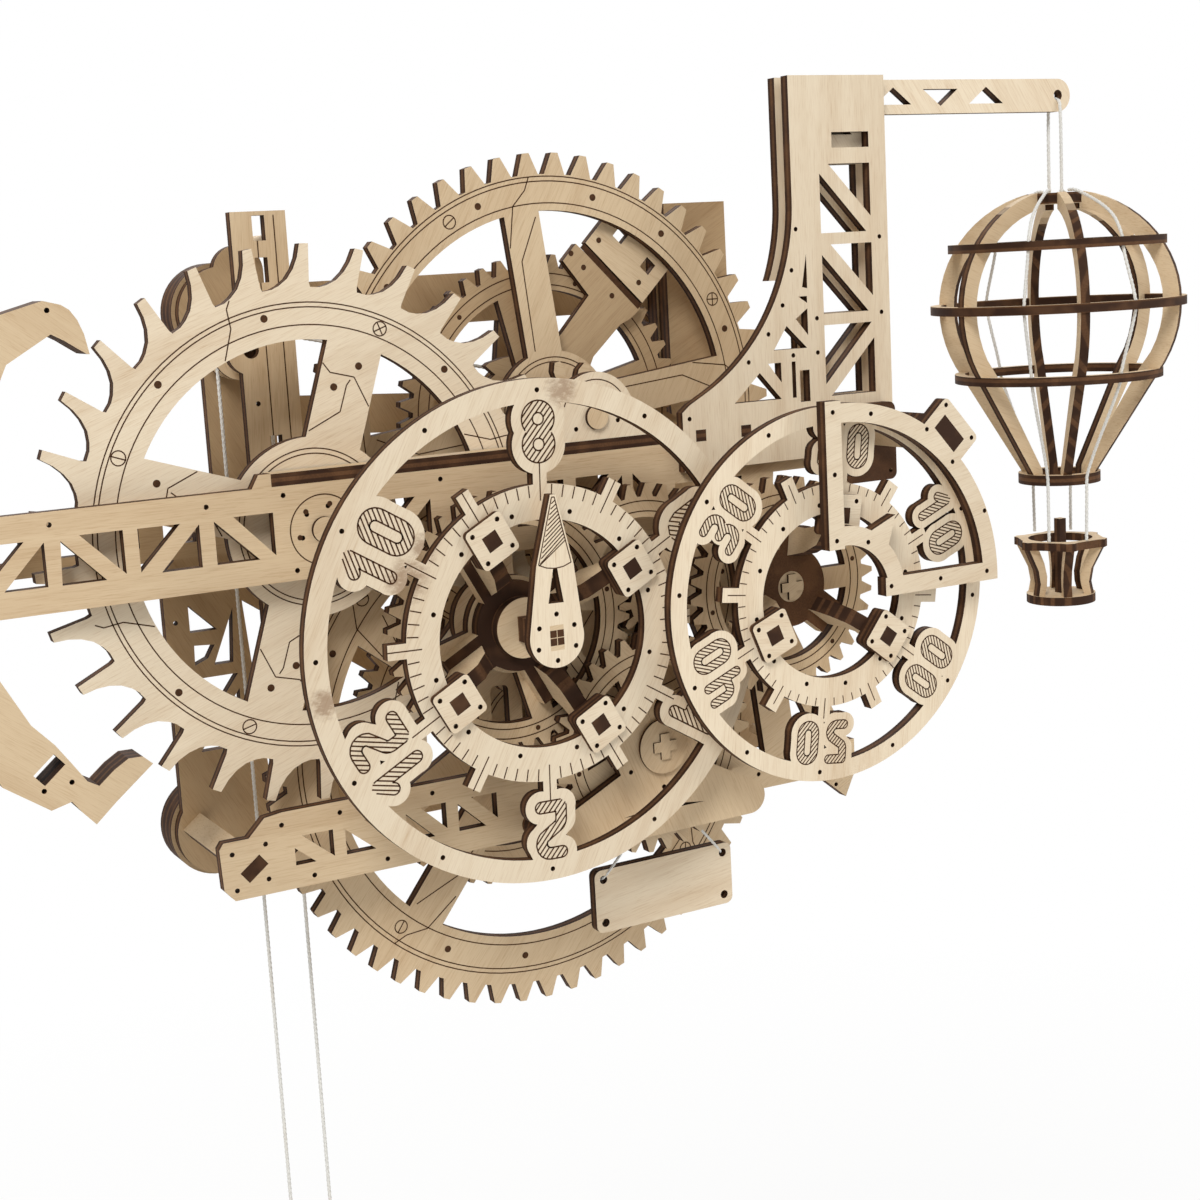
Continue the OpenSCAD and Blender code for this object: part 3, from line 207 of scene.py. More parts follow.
def make_floor_paint():
    material, tree, shader = new_material("pale_floor")
    nodes, links = tree.nodes, tree.links
    shader.inputs["Base Color"].default_value = (0.86, 0.86, 0.85, 1)
    shader.inputs["Roughness"].default_value = 0.9
    coords = nodes.new("ShaderNodeTexCoord")
    away = nodes.new("ShaderNodeVectorMath")
    away.operation = "LENGTH"
    links.new(coords.outputs["Object"], away.inputs[0])
    fade = nodes.new("ShaderNodeMapRange")
    for label, value in (("From Min", FADE_START), ("From Max", FADE_END),
                         ("To Min", WHITE_NEAR), ("To Max", WHITE_FAR)):
        fade.inputs[label].default_value = value
    links.new(away.outputs["Value"], fade.inputs["Value"])
    path = nodes.new("ShaderNodeLightPath")
    white = nodes.new("ShaderNodeEmission")
    mix = nodes.new("ShaderNodeMixShader")
    plain = math_node(tree, "MULTIPLY", path.outputs["Is Camera Ray"], fade.outputs["Result"])
    links.new(plain, mix.inputs[0])
    links.new(shader.outputs[0], mix.inputs[1])
    links.new(white.outputs[0], mix.inputs[2])
    links.new(mix.outputs[0], nodes["Material Output"].inputs["Surface"])
    return material


def add_floor():
    shape = bmesh.new()
    bmesh.ops.create_circle(shape, cap_ends=True, segments=64, radius=FLOOR_RADIUS)
    shape.transform(Matrix.Translation((0, 0, cad_box[0][2] - FLOOR_DROP)))
    floor = add_object("floor", shape)
    floor.data.materials.append(make_floor_paint())


add_floor()
print("the floor lies", FLOOR_DROP, "m below the weight and the pendulum")

# %% [markdown]
# Birch plywood has two very different surfaces. The faces are pale, with short fine fibres and a few
# soft streaks along the grain. The edges were cut by a laser, so they are charred brown, and the
# three layers still show as bands, because the middle one is end grain there. Both are worked out
# from Object coordinates, so the pattern stays on a plate when it turns. A picture of wood would
# need a map on every plate, while a noise in space fits them all.
#
# Two node groups hold what every piece of wood shares. The first draws the grain on a face. Its
# Along input is the coordinate with the grain running along X, across it Y, and depth Z.
# %% Node group for the grain
COLOUR_A, COLOUR_B, MIXED_COLOUR = 6, 7, 2


def new_group(name, inputs, outputs):
    group = bpy.data.node_groups.new(name, "ShaderNodeTree")
    for label, kind, default in inputs:
        socket = group.interface.new_socket(name=label, in_out="INPUT", socket_type=kind)
        if default is not None:
            socket.default_value = default
    for label, kind in outputs:
        group.interface.new_socket(name=label, in_out="OUTPUT", socket_type=kind)
    return group, group.nodes.new("NodeGroupInput"), group.nodes.new("NodeGroupOutput")


def scaled_noise(group, source, scale, detail, roughness=0.5):
    """Noise in a coordinate that is stretched by a scale for each axis, in cells per metre."""
    stretch = group.nodes.new("ShaderNodeMapping")
    stretch.inputs["Scale"].default_value = scale
    noise = group.nodes.new("ShaderNodeTexNoise")
    noise.inputs["Scale"].default_value = 1
    noise.inputs["Detail"].default_value = detail
    noise.inputs["Roughness"].default_value = roughness
    group.links.new(source, stretch.inputs["Vector"])
    group.links.new(stretch.outputs[0], noise.inputs["Vector"])
    return noise.outputs["Fac"]


def ramp(group, source, low, high):
    """0 below low, 1 above high, smooth between them."""
    node = group.nodes.new("ShaderNodeMapRange")
    node.interpolation_type = "SMOOTHSTEP"
    node.inputs["From Min"].default_value = low
    node.inputs["From Max"].default_value = high
    group.links.new(source, node.inputs["Value"])
    return node.outputs["Result"]


def mix_colours(group, amount, first, second):
    """A Mix node has sockets for each kind of data, so those for colours go by their number."""
    node = group.nodes.new("ShaderNodeMix")
    node.data_type = "RGBA"
    for key, value in (("Factor", amount), (COLOUR_A, first), (COLOUR_B, second)):
        socket = node.inputs[key]
        if isinstance(value, (int, float, tuple)):
            socket.default_value = value
        else:
            group.links.new(value, socket)
    return node.outputs[MIXED_COLOUR]


def make_grain_group():
    group, source, result = new_group(
        "plywood_grain",
        [("Along", "NodeSocketVector", None), ("Pale", "NodeSocketColor", (0.8, 0.66, 0.47, 1)),
         ("Streak", "NodeSocketColor", (0.55, 0.38, 0.22, 1))],
        [("Color", "NodeSocketColor"), ("Height", "NodeSocketFloat"), ("Roughness", "NodeSocketFloat")])
    along = source.outputs["Along"]
    fibres = scaled_noise(group, along, (160, 3600, 900), 3)
    bands = scaled_noise(group, along, (9, 150, 60), 3, 0.6)
    clouds = scaled_noise(group, along, (14, 32, 30), 2)
    flecks = scaled_noise(group, along, (34, 420, 120), 4, 0.75)
    pores = scaled_noise(group, along, (260, 5200, 1500), 1)
    amount = 0.0
    for noise, low, high, share in ((fibres, 0.44, 0.78, 0.30), (bands, 0.42, 0.75, 0.26),
                                    (clouds, 0.35, 0.8, 0.16), (flecks, 0.66, 0.8, 0.45),
                                    (pores, 0.62, 0.8, 0.3)):
        dark = math_node(group, "MULTIPLY", ramp(group, noise, low, high), share)
        amount = math_node(group, "ADD", amount, dark)
    amount = math_node(group, "MINIMUM", amount, 1.0)
    colour = mix_colours(group, amount, source.outputs["Pale"], source.outputs["Streak"])
    group.links.new(colour, result.inputs["Color"])
    height = math_node(group, "SUBTRACT", 1.0, math_node(group, "MULTIPLY", fibres, 0.8))
    group.links.new(height, result.inputs["Height"])
    rough = math_node(group, "ADD", 0.5, math_node(group, "MULTIPLY", bands, 0.16))
    group.links.new(rough, result.inputs["Roughness"])
    return group


grain_group = make_grain_group()
print("group", grain_group.name, "has", len(grain_group.nodes), "nodes")

# %% [markdown]
# The second group gives the charred edge. Its Layer input runs from 0 at a plate's front face to 1
# at its back face, and draws the two thin glue lines and the lighter middle layer. Char is never
# even: the laser leaves fine lines square to the faces, so a stretched noise breaks it up.
# %% Node group for the burnt edge
def make_char_group():
    group, source, result = new_group(
        "laser_char",
        [("Place", "NodeSocketVector", None), ("Layer", "NodeSocketFloat", 0.5),
         ("Char", "NodeSocketColor", (0.034, 0.013, 0.005, 1)),
         ("Core", "NodeSocketColor", (0.15, 0.07, 0.03, 1))],
        [("Color", "NodeSocketColor"), ("Height", "NodeSocketFloat")])
    layer = source.outputs["Layer"]
    off_middle = math_node(group, "ABSOLUTE", math_node(group, "SUBTRACT", layer, 0.5))
    core = math_node(group, "SUBTRACT", 1.0, ramp(group, off_middle, 0.1, 0.27))
    glue = math_node(group, "SUBTRACT", 1.0,
                     ramp(group, math_node(group, "ABSOLUTE", math_node(group, "SUBTRACT", off_middle, 0.2)),
                          0.01, 0.06))
    strokes = scaled_noise(group, source.outputs["Place"], (2300, 260, 2300), 2)
    patches = scaled_noise(group, source.outputs["Place"], (130, 130, 130), 2)
    light = math_node(group, "MULTIPLY", core, math_node(group, "ADD", 0.25, strokes))
    light = math_node(group, "ADD", math_node(group, "MULTIPLY", light, 0.75),
                      math_node(group, "MULTIPLY", ramp(group, patches, 0.45, 0.72), 0.4), clamp=True)
    light = math_node(group, "MULTIPLY", light,
                      math_node(group, "SUBTRACT", 1.0, math_node(group, "MULTIPLY", glue, 0.6)), clamp=True)
    group.links.new(mix_colours(group, light, source.outputs["Char"], source.outputs["Core"]),
                    result.inputs["Color"])
    group.links.new(strokes, result.inputs["Height"])
    return group


char_group = make_char_group()
print("group", char_group.name, "has", len(char_group.nodes), "nodes")

# %% [markdown]
# A face is told from an edge by the direction it looks in. Most plates lie square to Y, so a face's
# normal points along Y. The arms under the dials and the balloon's ribs stand on edge around a
# centre instead: their faces look sideways round that centre. A few sheets lie flat or stand
# askew, and have a normal of their own. Each case gives one number, 1 on a face and 0 on an edge,
# from the object's own Normal, which turns with the piece.
# %% Faces and edges
EDGE_UNTIL, FACE_FROM = 0.8, 0.93


def vector_node(group, operation, first, second=None):
    node = group.nodes.new("ShaderNodeVectorMath")
    node.operation = operation
    for socket, value in zip(node.inputs, (first, second)):
        if value is None:
            continue
        if isinstance(value, (tuple, Vector)):
            socket.default_value = value
        else:
            group.links.new(value, socket)
    return node


def face_mask(tree, coords, sideways_round=None, spin_axis=(0, 1, 0)):
    """1 on a plate's faces and 0 on its edges. sideways_round is the centre of radial plates.

    A piece of solid wood has no layers, and None as its axis: all of it is a face.
    """
    if spin_axis is None:
        return 1.0
    if sideways_round is None:
        facing = vector_node(tree, "DOT_PRODUCT", coords.outputs["Normal"], spin_axis).outputs["Value"]
    else:
        out = vector_node(tree, "SUBTRACT", coords.outputs["Object"], sideways_round).outputs[0]
        side = vector_node(tree, "CROSS_PRODUCT", out, spin_axis).outputs[0]
        side = vector_node(tree, "NORMALIZE", side).outputs[0]
        facing = vector_node(tree, "DOT_PRODUCT", coords.outputs["Normal"], side).outputs["Value"]
    return ramp(tree, math_node(tree, "ABSOLUTE", facing), EDGE_UNTIL, FACE_FROM)


print("all face within", round(math.degrees(math.acos(FACE_FROM))), "degrees of the sheet's normal,",
      "all edge beyond", round(math.degrees(math.acos(EDGE_UNTIL))))

# %% [markdown]
# Every sheet of plywood comes out of the machine a little different, so each plate gets its own
# material: the same two groups, but its own grain direction, its own tone and its own front face
# for the layers. That tone is partly the sheet's own, a little different at random, and partly
# painted light and shade: one plywood in three tones, lit in front, half shaded, and in deep shade
# far behind. The laser also left brown smudges on the hour dial and on one of its tiles, which
# are soft spots broken up by noise. The bump of the fibres is a few hundredths of a millimetre.
# %% The plywood material
# One plywood in three tones of painted light and shade: lit in front, half shaded, in deep shade behind.
LIT_TONE = ((0.82, 0.70, 0.525, 1), (0.50, 0.32, 0.165, 1))
HALF_SHADE_TONE = ((0.715, 0.555, 0.36, 1), (0.41, 0.245, 0.115, 1))
DEEP_SHADE_TONE = ((0.50, 0.355, 0.205, 1), (0.27, 0.155, 0.07, 1))
SMUDGE = (0.20, 0.085, 0.03, 1)


def add_bump(tree, shader, height, strength, depth):
    bump = tree.nodes.new("ShaderNodeBump")
    bump.inputs["Strength"].default_value = strength
    bump.inputs["Distance"].default_value = depth
    tree.links.new(height, bump.inputs["Height"])
    tree.links.new(bump.outputs[0], shader.inputs["Normal"])


def scorch_mask(tree, coords, places):
    """Ragged smudges, each with its place and its reach in millimetres from the hour dial's centre."""
    spots = 0.0
    for x, z, reach in places:
        place = (hour_axis.x + x * MM, front_of("hour_dial"), hour_axis.z + z * MM)
        away = vector_node(tree, "DISTANCE", coords.outputs["Object"], place).outputs["Value"]
        spot = math_node(tree, "SUBTRACT", 1.0, math_node(tree, "DIVIDE", away, reach * MM), clamp=True)
        spots = math_node(tree, "MAXIMUM", spots, spot)
    ragged = scaled_noise(tree, coords.outputs["Object"], (420, 300, 900), 4, 0.7)
    burnt = ramp(tree, math_node(tree, "MULTIPLY", spots, ragged), 0.12, 0.42)
    return math_node(tree, "MULTIPLY", burnt, 0.6)


def make_plywood(name, tone, angle, front, centre=None, spin_axis=(0, 1, 0), seed=0, scorched=()):
    """Plywood whose layers start at front; centre and spin_axis say how the sheet stands."""
    material, tree, shader = new_material(name)
    nodes, links = tree.nodes, tree.links
    coords = nodes.new("ShaderNodeTexCoord")
    turn = nodes.new("ShaderNodeMapping")
    turn.inputs["Location"].default_value = (seed * 0.37, seed * 0.11, seed * 0.23)
    turn.inputs["Rotation"].default_value = (math.radians(90), 0, math.radians(angle))
    links.new(coords.outputs["Object"], turn.inputs["Vector"])
    grain = nodes.new("ShaderNodeGroup")
    grain.node_tree = grain_group
    grain.inputs["Pale"].default_value, grain.inputs["Streak"].default_value = tone
    links.new(turn.outputs[0], grain.inputs["Along"])
    split = nodes.new("ShaderNodeSeparateXYZ")
    links.new(coords.outputs["Object"], split.inputs[0])
    through = split.outputs["Z"] if spin_axis == (0, 0, 1) and centre is None else split.outputs["Y"]
    depth = math_node(tree, "DIVIDE", math_node(tree, "SUBTRACT", through, front), PLY)
    char = nodes.new("ShaderNodeGroup")
    char.node_tree = char_group
    links.new(coords.outputs["Object"], char.inputs["Place"])
    links.new(math_node(tree, "FRACT", depth), char.inputs["Layer"])
    face = face_mask(tree, coords, centre, spin_axis)
    if centre is not None and spin_axis == (0, 0, 1):
        face = math_node(tree, "MAXIMUM", face, face_mask(tree, coords, None, spin_axis))
    edge = math_node(tree, "SUBTRACT", 1.0, face)
    wood = grain.outputs["Color"]
    if scorched:
        wood = mix_colours(tree, scorch_mask(tree, coords, scorched), wood, SMUDGE)
    shader.inputs["Specular IOR Level"].default_value = 0.25
    links.new(mix_colours(tree, face, char.outputs["Color"], wood), shader.inputs["Base Color"])
    rougher = math_node(tree, "MULTIPLY", edge, 0.22)
    links.new(math_node(tree, "ADD", grain.outputs["Roughness"], rougher), shader.inputs["Roughness"])
    height = math_node(tree, "ADD", math_node(tree, "MULTIPLY", face, grain.outputs["Height"]),
                       math_node(tree, "MULTIPLY", edge, char.outputs["Height"]))
    add_bump(tree, shader, height, 0.35, 0.06 * MM)
    return material


print("tones of dial, sheet and inner plate:", [tone[0][:3] for tone in (LIT_TONE, HALF_SHADE_TONE, DEEP_SHADE_TONE)])

# %% [markdown]
# Now each plate of the frame gets its plywood. The dials, the escape wheel and the tower stand in
# front and get the palest tone, which is painted light; what lies far behind them gets the darkest,
# which is painted shade, and the rest gets a half-shaded tone between them. Each plate also differs a
# little from the next, as sheets from one stack do. Short tables hold what can't be measured: which
# way the grain runs, and which sheets don't face the front. The weight is turned from solid wood and
# has no burnt edge.
# %% Plywood for every plate
GRAIN_ANGLE = {"upper_beam": 0, "lower_beam": 0, "rear_beam": 0, "hour_dial": 62, "minute_dial": 84,
               "escape_wheel": 20, "anchor": -38, "tower_front": 90, "tower_rear": 90, "left_column": 86,
               "pendulum_rod": 90, "plaque": 8, "sector_frame": 12, "hour_pointer": 88}
# Plates in front get the painted lit tone, plates far behind the painted deep shade, all others the half
# shade.
LIT_NODES = {"hour_dial", "hour_tiles", "hour_pointer", "sector_frame", "minute_dial", "minute_tiles",
              "escape_wheel", "plaque", "top_bearing", "tower_front", "tower_rear", "tower_arm"}
DEEP_SHADE_NODES = {"rear_frame", "wall_spacers", "rear_beam", "ply_stack", "cord_drum", "winding_wheel"}
balloon_low, balloon_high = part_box("balloon_ribs")
balloon_middle = (balloon_low + balloon_high) / 2
RADIAL = {"hour_spider": (hour_axis, (0, 1, 0)),
          "minute_spider": (minute_axis, (0, 1, 0)),
          "balloon_ribs": (balloon_middle, (0, 0, 1)),
          "basket": (balloon_middle, (0, 0, 1))}
SHEET_NORMAL = {"balloon_rings": (0, 0, 1), "beam_shelf": (0, 0, 1), "sector_strut": (0.749, 0, 0.663),
                "spacer_posts": (0.609, 0, -0.793), "weight": None}
SCORCHED = {"hour_dial": ((-34, 17, 9), (-29, 24, 6), (8, 57, 7), (-56, -8, 6)),
            "hour_tiles": ((-20, 18, 6),)}
CORDS = {"drive_cord", "weight_cords", "plaque_cord", "balloon_strings"}


def dress_nodes():
    shades = random.Random(7)
    for count, (name, node) in enumerate(sorted(frame["nodes"].items())):
        if name in CORDS:
            continue
        tone = LIT_TONE if name in LIT_NODES else DEEP_SHADE_TONE if name in DEEP_SHADE_NODES else HALF_SHADE_TONE
        shift = shades.uniform(0.94, 1.05)
        tone = tuple(tuple(min(1, channel * shift) for channel in colour[:3]) + (1,) for colour in tone)
        angle = GRAIN_ANGLE.get(name, shades.uniform(-80, 80))
        centre, spin_axis = RADIAL.get(name, (None, SHEET_NORMAL.get(name, (0, 1, 0))))
        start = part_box(name)[0].z if spin_axis == (0, 0, 1) else front_of(name)
        material = make_plywood("plywood_" + name, tone, angle, start, centre, spin_axis, count,
                                SCORCHED.get(name, ()))
        node.data.materials.clear()
        node.data.materials.append(material)


dress_nodes()
print("materials:", len(bpy.data.materials))

# %% [markdown]
# The cords are white cotton, a little soiled by handling. Loose fibres make cotton rough and give it
# a faint sheen at its outline, which the shader has a value for. Colour, roughness and fuzz come
# from one fine noise, and the soiled stretches from a coarse one.
# %% Cotton
def make_cotton():
    material, tree, shader = new_material("cotton_cord")
    coords = tree.nodes.new("ShaderNodeTexCoord")
    fuzz = scaled_noise(tree, coords.outputs["Object"], (4200, 4200, 4200), 3, 0.7)
    patches = scaled_noise(tree, coords.outputs["Object"], (60, 60, 60), 2)
    clean = mix_colours(tree, ramp(tree, fuzz, 0.3, 0.62), (0.60, 0.585, 0.54, 1), (0.86, 0.855, 0.82, 1))
    soiled = math_node(tree, "MULTIPLY", ramp(tree, patches, 0.5, 0.8), 0.3)
    tree.links.new(mix_colours(tree, soiled, clean, (0.70, 0.62, 0.50, 1)), shader.inputs["Base Color"])
    rough = math_node(tree, "ADD", 0.72, math_node(tree, "MULTIPLY", fuzz, 0.24))
    tree.links.new(rough, shader.inputs["Roughness"])
    shader.inputs["Sheen Weight"].default_value = 0.3
    shader.inputs["Sheen Roughness"].default_value = 0.5
    add_bump(tree, shader, fuzz, 0.7, 0.08 * MM)
    return material


cotton = make_cotton()
print("material", cotton.name, "has", len(cotton.node_tree.nodes), "nodes")

# %% [markdown]
# A cord's route is a list of points in the clock's own measure: millimetres from the middle of the
# hour dial, as one would mark them on a drawing. Turns round a drum or a pulley come from a formula,
# and a corner where a cord bends freely is cut three times, until it is round. A curve object could
# round the corners too, but its length would then be harder to state.
# %% Routes in millimetres
CORD_STEP = 0.35 * MM


def at(x, y, z):
    """A place on the clock: millimetres from the hour dial's centre, Y back from its face."""
    return Vector((hour_axis.x, front_of("hour_dial"), hour_axis.z)) + MM * Vector((x, y, z))


def turn_points(centre, radius, start, end, front, back, count):
    """Points of a turn, flat or a helix, about a centre in X and Z; angles as seen from the front."""
    points = []
    for i in range(count + 1):
        angle = math.radians(start + (end - start) * i / count)
        points.append(at(centre[0] + radius * math.cos(angle), front + (back - front) * i / count,
                         centre[1] + radius * math.sin(angle)))
    return points


def dense_route(points):
    """The same route, with points about a step apart."""
    route = [points[0]]
    for first, last in zip(points, points[1:]):
        parts = max(1, round((last - first).length / CORD_STEP))
        route += [first.lerp(last, i / parts) for i in range(1, parts + 1)]
    return route


def softened(points, times=3):
    """The route with its corners cut, as a cord bends."""
    for _ in range(times):
        cut = [points[0]]
        for first, last in zip(points, points[1:]):
            cut += [first.lerp(last, 0.25), first.lerp(last, 0.75)]
        points = cut + [points[-1]]
    return points


def route_length(points):
    return sum((last - first).length for first, last in zip(points, points[1:]))


print("the hour dial's centre is at", [round(value, 4) for value in at(0, 0, 0)])

# %% [markdown]
# The cords are about a millimetre thick and twisted from three strands. A curve with a round bevel
# would make smooth wires, and a wave in a material can't follow a cord round a drum. So a ring with
# three lobes is extruded along the cord's route and turned a little at each step, which gives the
# real ridges. The frame of each step is carried over from the last one, so the only twist is the one
# that is asked for. An operator looks at every vertex of its mesh, so a long cord is made of short
# lengths that are joined at the end.
# %% The twisted cord
CORD_TWIST = 4.2 * MM
STRAND_DEPTH = 0.11
LENGTH_STEPS = 40


def cord_stands(route):
    """One matrix for each point: its place, with Z along the cord and X turning with the twist."""
    stands, side, travelled = [], Vector((0.3, 1, 0.2)), 0
    for i, point in enumerate(route):
        ahead = (route[min(i + 1, len(route) - 1)] - route[max(i - 1, 0)]).normalized()
        side = (side - ahead * side.dot(ahead)).normalized()
        travelled += (point - route[i - 1]).length if i else 0
        stand = Matrix((side, ahead.cross(side), ahead)).transposed().to_4x4()
        stands.append(Matrix.Translation(point) @ stand
                      @ Matrix.Rotation(2 * math.pi * travelled / CORD_TWIST, 4, "Z"))
    return stands


def extruded_strands(stands, radius):
    """A short length of cord, open at both ends: a ring with three lobes, set at each stand in turn."""
    shape = bmesh.new()
    bmesh.ops.create_circle(shape, cap_ends=False, segments=12, radius=radius)
    for vert in shape.verts:
        vert.co *= 1 - STRAND_DEPTH + STRAND_DEPTH * math.cos(3 * math.atan2(vert.co.y, vert.co.x))
    bmesh.ops.transform(shape, matrix=stands[0], verts=shape.verts)
    edges = list(shape.edges)
    for before, after in zip(stands, stands[1:]):
        made = bmesh.ops.extrude_edge_only(shape, edges=edges)["geom"]
        verts = {part for part in made if isinstance(part, bmesh.types.BMVert)}
        edges = [part for part in made
                 if isinstance(part, bmesh.types.BMEdge) and verts.issuperset(part.verts)]
        bmesh.ops.transform(shape, matrix=after @ before.inverted(), verts=list(verts))
    return shape


def twist_cord(name, points, diameter):
    """A mesh tube with three strands along the points, as a piece without a parent."""
    stands = cord_stands(dense_route(points))
    shape = bmesh.new()
    short_mesh = bpy.data.meshes.new("short_length")
    for first in range(0, len(stands) - 1, LENGTH_STEPS):
        short = extruded_strands(stands[first:first + LENGTH_STEPS + 1], diameter / 2)
        short.to_mesh(short_mesh)
        short.free()
        shape.from_mesh(short_mesh)
    bpy.data.meshes.remove(short_mesh)
    bmesh.ops.remove_doubles(shape, verts=shape.verts, dist=1e-6)
    bmesh.ops.holes_fill(shape, edges=[edge for edge in shape.edges if edge.is_boundary], sides=0)
    bmesh.ops.recalc_face_normals(shape, faces=shape.faces)
    piece = add_object(name, shape)
    mesh = piece.data
    mesh.polygons.foreach_set("use_smooth", [True] * len(mesh.polygons))
    mesh.materials.append(cotton)
    print(name, "is", round(route_length(points), 3), "m long, with", len(mesh.polygons), "faces")
    return piece


print("one turn of the strands in", round(CORD_TWIST / MM, 2), "mm")

# %% [markdown]
# The driving cord is wound on the drum behind the top wheel, runs over the guide pulley, down round
# the pulley of the weight and up again to a post, where one and a half turns and a tail hold it. The
# photograph cuts it off below, so its length follows from where the weight hangs.
# %% The driving cord
CORD_D = 1 * MM
CORD_DEPTH = 65.5
DRUM_CENTRE, DRUM_RUN, DRUM_FRONT = (31.8, 47.2), 9.65, 62.9
GUIDE_CENTRE, STRAND_RUN = (-47.1, 69), 5.42
SLING_HEIGHT = -190
POST_PLACE, POST_RUN, POST_DEPTH = (-41.7, 56.6), 2.05, CORD_DEPTH - 4.2
BEND_LOW, BEND_HIGH = 10, 50


def driving_route():
    dx, dz = GUIDE_CENTRE[0] - DRUM_CENTRE[0], GUIDE_CENTRE[1] - DRUM_CENTRE[1]
    leave = math.degrees(math.atan2(dz, dx) - math.acos((DRUM_RUN - STRAND_RUN) / math.hypot(dx, dz)))
    sling_centre = (GUIDE_CENTRE[0], SLING_HEIGHT)
    points = turn_points(DRUM_CENTRE, DRUM_RUN, leave - 720, leave, DRUM_FRONT, CORD_DEPTH, 120)
    points += turn_points(GUIDE_CENTRE, STRAND_RUN, leave, 180, CORD_DEPTH, CORD_DEPTH, 16)
    points += turn_points(sling_centre, STRAND_RUN, 180, 360, CORD_DEPTH, CORD_DEPTH, 24)
    rise = GUIDE_CENTRE[0] + STRAND_RUN
    shift = POST_PLACE[0] + POST_RUN - rise
    for i in range(9):
        t = i / 8
        height = BEND_LOW + (BEND_HIGH - BEND_LOW) * t
        points.append(at(rise + shift * t * t * (3 - 2 * t), CORD_DEPTH, height))
    points += turn_points(POST_PLACE, POST_RUN, 0, 540, CORD_DEPTH, POST_DEPTH, 60)
    tail_start = POST_PLACE[0] - POST_RUN
    return points + [at(tail_start - 0.1, POST_DEPTH - 0.2, POST_PLACE[1] - 3),
                     at(tail_start - 0.6, POST_DEPTH - 0.4, POST_PLACE[1] - 7)]


driving_points = driving_route()
driving_cord = twist_cord("driving_cord", driving_points, CORD_D)
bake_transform(driving_cord)
dense_route(driving_points)
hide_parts("drive_cord", "weight_cords")

# %% [markdown]
# The balloon's four strings pass through holes in its rings and end at the basket, a loop hangs the
# balloon on its arm, and the plaque hangs by one cord over a peg. All of them are short and taut, so
# their routes are short lists of points, softened at the corners.
# %% Strings of the balloon and cord of the plaque
PLAQUE_CORD_D = 0.8 * MM
BALLOON = (186, 28.5)
BALLOON_R, BALLOON_MIDDLE = 35.3, 66
CAP_REACH, CONE_REACH = 32.5, 34.5
STRING_TURNS = (213, 265, 33, 85)
RING_HEIGHTS = (83.2, 66, 46)
CROWN_HEIGHT, HANG_HEIGHT = 97.6, 123.55


def balloon_radius(height):
    """The balloon is half an egg above its widest ring and half another below it."""
    reach = CAP_REACH if height > BALLOON_MIDDLE else CONE_REACH
    return BALLOON_R * math.sqrt(1 - ((height - BALLOON_MIDDLE) / reach) ** 2)


def string_route(turn):
    profile = [(6, 98.2), (9.4, 98.2), (balloon_radius(89) - 0.4, 92)]
    profile += [(balloon_radius(z) - 0.8, z + d) for z in RING_HEIGHTS for d in (1.8, -1.8)]
    profile += [(12.6, 19), (12.6, 14), (12.2, -1.2)]
    right, back = math.cos(math.radians(turn)), math.sin(math.radians(turn))
    return [at(BALLOON[0] + r * right, BALLOON[1] + r * back, z) for r, z in profile]


def add_short_cord(name, points, diameter, body):
    route = softened(points)
    piece = twist_cord(name, route, diameter)
    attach(piece, body)
    dense_route(route)
    return piece


for turn in STRING_TURNS:
    add_short_cord(f"balloon_string_{turn}", string_route(turn), CORD_D, "balloon")
hanger_route = [at(BALLOON[0], BALLOON[1] + y, z)
                for y, z in ((2.6, CROWN_HEIGHT), (2.6, HANG_HEIGHT - 2), (1.6, HANG_HEIGHT),
                             (-1.6, HANG_HEIGHT), (-2.6, HANG_HEIGHT - 2), (-2.6, CROWN_HEIGHT))]
hanger = add_short_cord("balloon_hanger", hanger_route, CORD_D, "balloon")
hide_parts("balloon_strings")
PEG_PLACE, PEG_RUN, PEG_DEPTH = (42.3, -52.5), 1.5, 21.9
LEFT_HOLE, RIGHT_HOLE, HOLE_HEIGHT = 24, 60.4, -71.3
PLAQUE_INSIDE, PLAQUE_OUTSIDE = 25.6, 21.8
plaque_route = [at(LEFT_HOLE, PLAQUE_INSIDE, HOLE_HEIGHT), at(LEFT_HOLE, PLAQUE_OUTSIDE, HOLE_HEIGHT)]
plaque_route += turn_points(PEG_PLACE, PEG_RUN, 138, 42, PEG_DEPTH, PEG_DEPTH, 6)
plaque_route += [at(RIGHT_HOLE, PLAQUE_OUTSIDE, HOLE_HEIGHT), at(RIGHT_HOLE, PLAQUE_INSIDE, HOLE_HEIGHT)]
plaque_cord = add_short_cord("plaque_hanger", plaque_route, PLAQUE_CORD_D, "plaque")
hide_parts("plaque_cord")

# %% [markdown]
# Engraving is a shallow groove burnt into a face. At this scale a groove only reads as a thin dark
# line, so each one is a flat strip of char that lies a few hundredths of a millimetre proud of the
# face. An Engraver gathers all strips of one face into one mesh. Its points are given in
# millimetres from a centre, X to the right and Z up, seen from the front, and it can be turned, so
# a numeral is drawn once and placed anywhere on a dial.
# %% The engraver
LINE, THIN, FINE = 0.36, 0.3, 0.26
PROUD, SUNK = 0.03, 0.03


def make_engraving():
    material, tree, shader = new_material("engraved_char")
    coords = tree.nodes.new("ShaderNodeTexCoord")
    noise = scaled_noise(tree, coords.outputs["Object"], (900, 900, 900), 2)
    colour = mix_colours(tree, noise, (0.022, 0.009, 0.004, 1), (0.11, 0.048, 0.02, 1))
    tree.links.new(colour, shader.inputs["Base Color"])
    shader.inputs["Roughness"].default_value = 0.85
    shader.inputs["Specular IOR Level"].default_value = 0.2
    return material


engraved = make_engraving()


